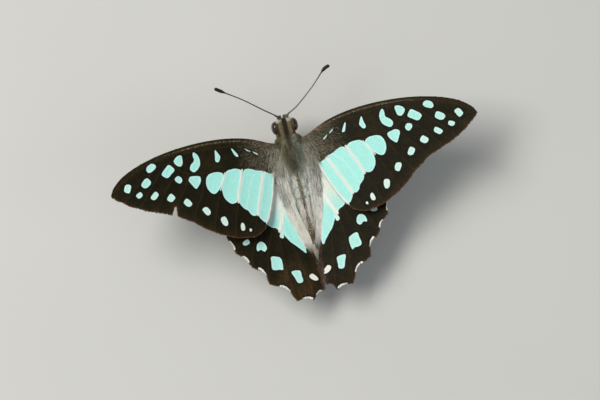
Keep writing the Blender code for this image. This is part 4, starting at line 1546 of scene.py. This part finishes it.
def ring_scales(coat):
    """Flat scales that lie back over the abdomen's rings, fewer on the bare brown patch."""
    n = 13500
    y, turn = coat.even(2.6, 20.4, n), coat.even(-np.pi, np.pi, n)
    keep = coat.even(0, 1, n) < section(y)[1] / 2.0
    y, turn = y[keep], turn[keep]
    points, _ = on_body(y, turn)
    bare = (y > 12.0) & (y < 16.0) & (np.abs(points[:, 0]) < 0.5) & (np.cos(turn) > 0.3)
    keep = ~bare | (coat.even(0, 1, len(y)) < 0.6)
    y, turn, points = y[keep], turn[keep], points[keep]
    n = len(y)
    along = (0, 1.0, 0) + coat.stray(0.12, n)
    lengths = coat.even(0.36, 0.62, n) * (1 + 0.9 * smooth(y, 4.5, 2.6)) * (1 + 0.5 * smooth(y, 18.0, 20.0))
    tint = coat.tints(body_tint(points), 0.48)
    silver = coat.even(0, 1, n) < 0.28 * smooth(np.cos(turn), 0.2, 0.6) * smooth(y, 18.0, 15.0)
    tint = np.where(silver[:, None], tint * 0.3 + (0.52, 0.51, 0.44), tint)
    coat.grow(y, turn, along, (0.05, 0.22), lengths, (0.06, 0.11), -0.06, tint, tint * 1.2, flatness=0.35)


def white_tuft(coat, side):
    """White hair beside the bare patch's front end."""
    n = 380
    y, turn = coat.bell(11.9, 1.0, n), side * coat.bell(0.44, 0.14, n)
    along = (0.10 * side, 1.0, 0) + coat.stray(0.10, n)
    tint = np.minimum(coat.tints((0.86, 0.83, 0.74), 0.10, n), 0.92)
    coat.grow(y, turn, along, 0.15, (0.7, 1.3), (0.06, 0.09), -0.10, tint, lift=0.10)


def ring_hairs(coat):
    """Fine dark hairs across the abdomen's rings."""
    n = 110
    y = WAIST + SEGMENT * coat.random.integers(2, 5, n) + coat.bell(0, 0.16, n)
    turn = coat.even(-1.0, 1.0, n)
    along = columns(np.sign(turn), 0.15, 0.0) + coat.stray(0.2, n)
    tint = (0.060, 0.048, 0.034)
    coat.grow(y, turn, along, 0.08, (0.4, 0.7), np.full(n, 0.04), -0.15, tint, lift=0.08)


def tail_tuft(coat):
    """Cream tuft behind the tip."""
    n = 170
    roots = columns(coat.bell(0.08, 0.17, n), coat.even(19.4, 21.2, n), coat.bell(7.85, 0.12, n))
    direction = unit((0.02, 1.0, -0.02) + coat.stray(0.06, n))
    tint = np.minimum(coat.tints((0.62, 0.53, 0.40), 0.25, n), 0.85)
    lengths, widths = coat.even(1.1, 2.0, n), coat.even(0.06, 0.09, n)
    on_map = columns(0.4 + 0.2 * coat.even(0, 1, n), 0.99)
    coat.add(to_world(roots), direction, lengths, widths, 0.0, tint, on_map, np.array((0.0, 0.0, 1.0)))


def abdomen_coat(finish):
    """Scales and hair of the abdomen."""
    coat = Coat("coat_abdomen", finish, 13)
    ring_scales(coat)
    for side in SIDES:
        white_tuft(coat, side)
    ring_hairs(coat)
    tail_tuft(coat)
    coat.finish_piece()


def root_hair(coat, wing, upper, wanted):
    """Hair over or under a forewing's root."""
    way = 1 if upper else -1
    u = 0.3 + 8.5 * coat.even(0, 1, wanted) ** 1.5
    uv = columns(u, coat.even(-2.6, 5.2, wanted))
    keep = (wing.field("rim", uv) < -0.15) & (wing.field("patch", uv) > 0.35)
    keep &= coat.even(0, 1, wanted) < smooth(u, 9.5, 1.0) + 0.12
    uv = uv[keep]
    n = len(uv)
    lean = 0.18 + 0.55 * smooth(uv[:, 1], -1.5, 3.5)
    flat = columns(1.0, lean, coat.even(0.04, 0.20, n)) + coat.stray(0.12, n)
    flat[:, 2] = np.abs(flat[:, 2]) * way
    grey = coat.even(0, 1, (n, 1))
    tint = np.array((0.060, 0.045, 0.028)) * (1 - grey) + np.array((0.330, 0.300, 0.205)) * grey**1.3
    lengths = coat.even(0.55, 1.25, n)
    roots = wing.place(drawn_in(wing, uv), wing.face(uv, upper))
    on_map = chart_map(wing, uv) * [0.5, 1] + [0 if upper else 0.5, 0]
    facing = way * wing.up(n)
    sag, tips = -0.10 * facing, np.minimum(tint * 1.3, 1)
    coat.add(roots, wing.to_frame(flat), lengths, (0.035, 0.060), sag, tint, on_map, facing, tips)


def root_plume(coat, wing):
    """Longer hair that streams back from a forewing's root over the hindwing."""
    uv = columns(coat.even(0.1, 3.4, 1500), coat.even(-1.0, 4.9, 1500))
    uv = uv[coat.even(0, 1, 1500) < smooth(uv[:, 0], 4.2, 0.4)]
    n = len(uv)
    flat = columns(0.30, 0.95, coat.even(0.05, 0.30, n)) + coat.stray(0.14, n)
    roots = wing.place(drawn_in(wing, uv), wing.face(uv, True) - 0.02)
    tint = blend((0.150, 0.130, 0.084), (0.560, 0.565, 0.480), coat.even(0, 1, (n, 1)) ** 0.6)
    on_map = chart_map(wing, uv) * [0.5, 1]
    facing = wing.up(n)
    sag, tips = -0.16 * facing, np.minimum(tint * 1.6, 0.95)
    coat.add(
        roots, wing.to_frame(flat), (0.9, 1.9), (0.034, 0.052), sag, tint, on_map, facing, tips,
        waver=0.12, levels=LONG_HAIR,
    )


def wing_root_coat(wing, finish):
    """Hair over a forewing's root, above and below."""
    coat = Coat("coat_root_" + wing.name, finish, 14 if wing.side > 0 else 15)
    root_hair(coat, wing, True, 2600)
    root_hair(coat, wing, False, 900)
    root_plume(coat, wing)
    coat.finish_piece()


# The brush on the hindwing's chart: how far out its inner and outer edges are, at places back from the root
BRUSH_INNER = (
    (-2.6, 0.9), (0, 0.7), (3, 0.3), (6, 0.0), (9, -0.4), (12, -1.1), (15, -1.9), (18, -2.1),
)
BRUSH_OUTER = (
    (-2.6, 3.6), (0, 3.2), (3, 2.7), (6, 2.25), (8.1, 1.9), (10.1, 1.6), (12.3, 1.05), (14.4, 0.4),
    (16.6, -0.35), (18.5, -1.6),
)


def in_brush(v, share):
    """Chart points of the brush's streamlines, from the abdomen's side, 0, to its outer edge, 1."""
    inner, outer = (np.interp(v, *zip(*edge)) for edge in (BRUSH_INNER, BRUSH_OUTER))
    return columns(inner + (outer - inner) * share, v)


def lock(coat, wing, uv, tip, widths, heights, rise, tint, arch, tips=None):
    """Hairs from one set of chart points to another, rising over the wing and arching."""
    n = len(uv)
    ahead = tip - uv
    reach = np.linalg.norm(ahead, axis=1)
    bend = 0.12 * columns(-ahead[:, 1], ahead[:, 0]) * arch[:, None]
    flat = np.column_stack([ahead - bend, rise])
    sag = wing.to_frame(np.column_stack([bend, -rise * coat.even(0.5, 1.1, n)]))
    sag /= np.maximum(reach, 0.1)[:, None]
    roots, directions, lengths = wing.place(uv, heights), wing.to_frame(flat), np.linalg.norm(flat, axis=1)
    on_map = 0.05 + 0.9 * (uv - [-3, -3]) / [9, 33]
    coat.add(roots, directions, lengths, widths, sag, tint, on_map, wing.up(n), tips, levels=LONG_HAIR)


def brush(coat, wing):
    """Cream brush beside the abdomen, grey where it leaves the body."""
    n = 5200
    v = coat.even(0.4, 14.8, n)
    share = coat.even(0, 1, n) ** 0.75
    end = np.minimum(v + coat.even(2.0, 4.6, n), 17.6 + coat.even(-0.8, 0.4, n))
    shift = coat.bell(0, 0.10, n)
    tint = np.where(coat.even(0, 1, (n, 1)) < 0.80, (0.97, 0.96, 0.89), (0.90, 0.86, 0.74))
    shade = coat.even(0, 1, n)[:, None]
    tint = np.where(shade < 0.92, tint, (0.56, 0.48, 0.36))
    tint = np.where(shade > 0.978, (0.16, 0.12, 0.08), tint)
    tint = np.minimum(coat.tints(tint, 0.06), 0.98)
    grey = smooth(v - 1.8 * share + 1.4 * coat.bell(0, 1, n), 1.6, -1.6)[:, None]
    tint = blend(tint, (0.62, 0.63, 0.56), grey)
    tint = blend(tint, (0.30, 0.22, 0.16), 0.35 * smooth(v, 12.5, 14.5)[:, None])
    heights = 0.08 + 0.70 * (1 - share) ** 1.6 + coat.even(0, 0.12, n)
    tip = in_brush(end, np.clip(share + shift, 0, 1.04))
    widths, rise, arch = coat.even(0.036, 0.066, n), coat.even(0.03, 0.30, n), coat.bell(0, 0.6, n)
    lock(coat, wing, in_brush(v, share), tip, widths, heights, rise, tint, arch)


def down_hair(coat, wing):
    """Soft grey down over the wing's root, between brush, body and forewing."""
    n = 2500
    v = -2.6 + 8.0 * coat.even(0, 1, n) ** 1.3
    share = coat.even(-0.25, 1.05, n)
    tip = in_brush(v + coat.even(1.5, 3.2, n), share + coat.bell(0, 0.16, n))
    tint = blend((0.190, 0.175, 0.125), (0.420, 0.440, 0.400), coat.even(0, 1, (n, 1)))
    tint = np.where(coat.even(0, 1, (n, 1)) < 0.55, (0.88, 0.88, 0.80), tint)
    heights = coat.even(0.10, 0.55, n) + 0.35 * smooth(share, 0.4, -0.2)
    widths, rise, arch = coat.even(0.038, 0.062, n), coat.even(0.15, 0.7, n), coat.bell(0, 0.7, n)
    tips = np.minimum(tint * 1.25, 1)
    lock(coat, wing, in_brush(v, share), tip, widths, heights, rise, tint, arch, tips)


def edge_hair(coat, wing):
    """Brown hair on the folded edge behind the tip."""
    n = 900
    edge_u, edge_v = wing.inner_edge().T
    v = coat.even(14.5, 24.6, n)
    uv = columns(np.interp(v, edge_v, edge_u) + 0.55 * coat.even(0, 1, n) ** 1.8 - 0.08, v)
    tip = uv + columns(coat.bell(-0.16, 0.10, n), coat.even(0.8, 1.6, n))
    tint = coat.tints((0.115, 0.070, 0.047), 0.4, n)
    widths, heights = coat.even(0.045, 0.075, n), coat.even(0.06, 0.26, n)
    lock(coat, wing, uv, tip, widths, heights, coat.even(0.0, 0.12, n), tint, coat.bell(0, 0.5, n))


def fold_hair(coat, wing):
    """Hair that meets that of the other wing across the fold."""
    n = 800
    edge_u, edge_v = wing.inner_edge().T
    v = coat.even(16.8, 24.9, n)
    uv = columns(np.interp(v, edge_v, edge_u) + coat.even(-0.12, 0.25, n), v)
    tip = uv + columns(coat.even(-0.55, -0.15, n), coat.even(0.6, 1.3, n))
    tip[:, 1] = np.minimum(tip[:, 1], 25.6)
    tint = coat.tints((0.150, 0.098, 0.066), 0.4, n)
    widths, heights = coat.even(0.050, 0.085, n), coat.even(-0.05, 0.14, n)
    lock(coat, wing, uv, tip, widths, heights, coat.even(0.0, 0.08, n), tint, coat.bell(0, 0.4, n))


def inner_coat(wing, finish):
    """Long cream hair along a hindwing's inner edge, which closes over the abdomen's tip."""
    coat = Coat("coat_inner_" + wing.name, finish, 16 if wing.side > 0 else 17)
    brush(coat, wing)
    down_hair(coat, wing)
    edge_hair(coat, wing)
    fold_hair(coat, wing)
    coat.finish_piece()


# ---------------------------------------------------------------- stage

AIM = Vector((0.65, 2.57, 8.0)) * MM
AWAY = Vector((0.0663, 0.2481, 0.9665)).normalized()  # from the butterfly to the camera
CAMERA_DISTANCE = 0.5  # m
CAMERA_ROLL = math.radians(14.26)
FLOOR_HALF = 1.2  # m
SKY = (0.92, 0.96, 1.0)
LAMP_WARM = (1.0, 0.97, 0.91)


def make_floor(scene):
    """Pale floor under the butterfly."""
    mesh = bpy.data.meshes.new("floor")
    corners = [(x * FLOOR_HALF, y * FLOOR_HALF, 0) for x, y in ((-1, -1), (1, -1), (1, 1), (-1, 1))]
    mesh.from_pydata(corners, [], [(0, 1, 2, 3)])
    mesh.materials.append(floor_material("floor_pale"))
    floor = bpy.data.objects.new("floor", mesh)
    scene.collection.objects.link(floor)


def make_sky(scene):
    """Even soft light from all round."""
    world = bpy.data.worlds.new("soft_light")
    world.use_nodes = True
    inputs = world.node_tree.nodes["Background"].inputs
    inputs["Color"].default_value = (*SKY, 1.0)
    inputs["Strength"].default_value = 0.27
    scene.world = world


def make_camera(scene, right, up):
    """Long lens above the butterfly."""
    data = bpy.data.cameras.new("camera")
    data.lens = 143.4
    data.sensor_width = 36.0
    data.clip_start = 0.01
    data.clip_end = 10.0
    camera = bpy.data.objects.new("camera", data)
    turn = Matrix((right, up, AWAY)).transposed().to_4x4()
    camera.matrix_world = Matrix.Translation(AIM + AWAY * CAMERA_DISTANCE) @ turn
    scene.collection.objects.link(camera)
    scene.camera = camera


def make_lamp(scene, name, size, power, colour, spot):
    """Wide lamp that shines on the butterfly from spot."""
    lamp = bpy.data.lights.new(name, "AREA")
    lamp.shape = "RECTANGLE"
    lamp.size = size * 1.5
    lamp.size_y = size * 0.7
    lamp.energy = power
    lamp.color = colour
    light = bpy.data.objects.new(name, lamp)
    light.location = AIM + spot
    light.rotation_mode = "QUATERNION"
    light.rotation_quaternion = (-spot).to_track_quat("-Z", "Y")
    scene.collection.objects.link(light)


def make_stage():
    """Floor, soft light from ahead and to the butterfly's left, and the camera above."""
    scene = bpy.context.scene
    scene.view_settings.view_transform = "Standard"
    head_up = Vector((0, -1, 0))
    level = (head_up - head_up.dot(AWAY) * AWAY).normalized()
    up = level * math.cos(CAMERA_ROLL) + (-AWAY).cross(level) * math.sin(CAMERA_ROLL)
    right = (-AWAY).cross(up)
    make_floor(scene)
    make_sky(scene)
    make_camera(scene, right, up)
    make_lamp(scene, "key", 0.42, 5.7, LAMP_WARM, AWAY * 0.62 - right * 0.42 + up * 0.26)
    make_lamp(scene, "fill", 0.60, 1.5, SKY, AWAY * 0.50 + right * 0.60 - up * 0.30)


def main():
    """Stage, bare parts, wings with their scales and hair, and the body's coats."""
    make_stage()
    upper = wing_material("wing_upper", under=False)
    lower = wing_material("wing_lower", under=True)
    hair = hair_material("hair")
    scale_hair = hair_material("edge_scales", 0.6)
    skin = skin_material("skin")
    horn = horn_material("horn")
    make_skin(skin)
    make_eyes(eye_material("eye"))
    make_antennae(horn)
    make_tongue(horn)
    for pair in LEG_ROUTES:
        for side in SIDES:
            make_leg(pair, side, horn)
    seed = 20
    for kind, root_coat in (("hind", inner_coat), ("fore", wing_root_coat)):
        for side in SIDES:
            wing = Wing(kind, side)
            membrane(wing, upper, lower)
            for face, finish in ((True, upper), (False, lower)):
                seed += 1
                scale_coat(wing, face, finish, np.random.default_rng(seed))
            fringe_coat(wing, scale_hair, seed + 20)
            root_coat(wing, hair)
    head_coat(hair)
    thorax_coat(hair)
    abdomen_coat(hair)


main()
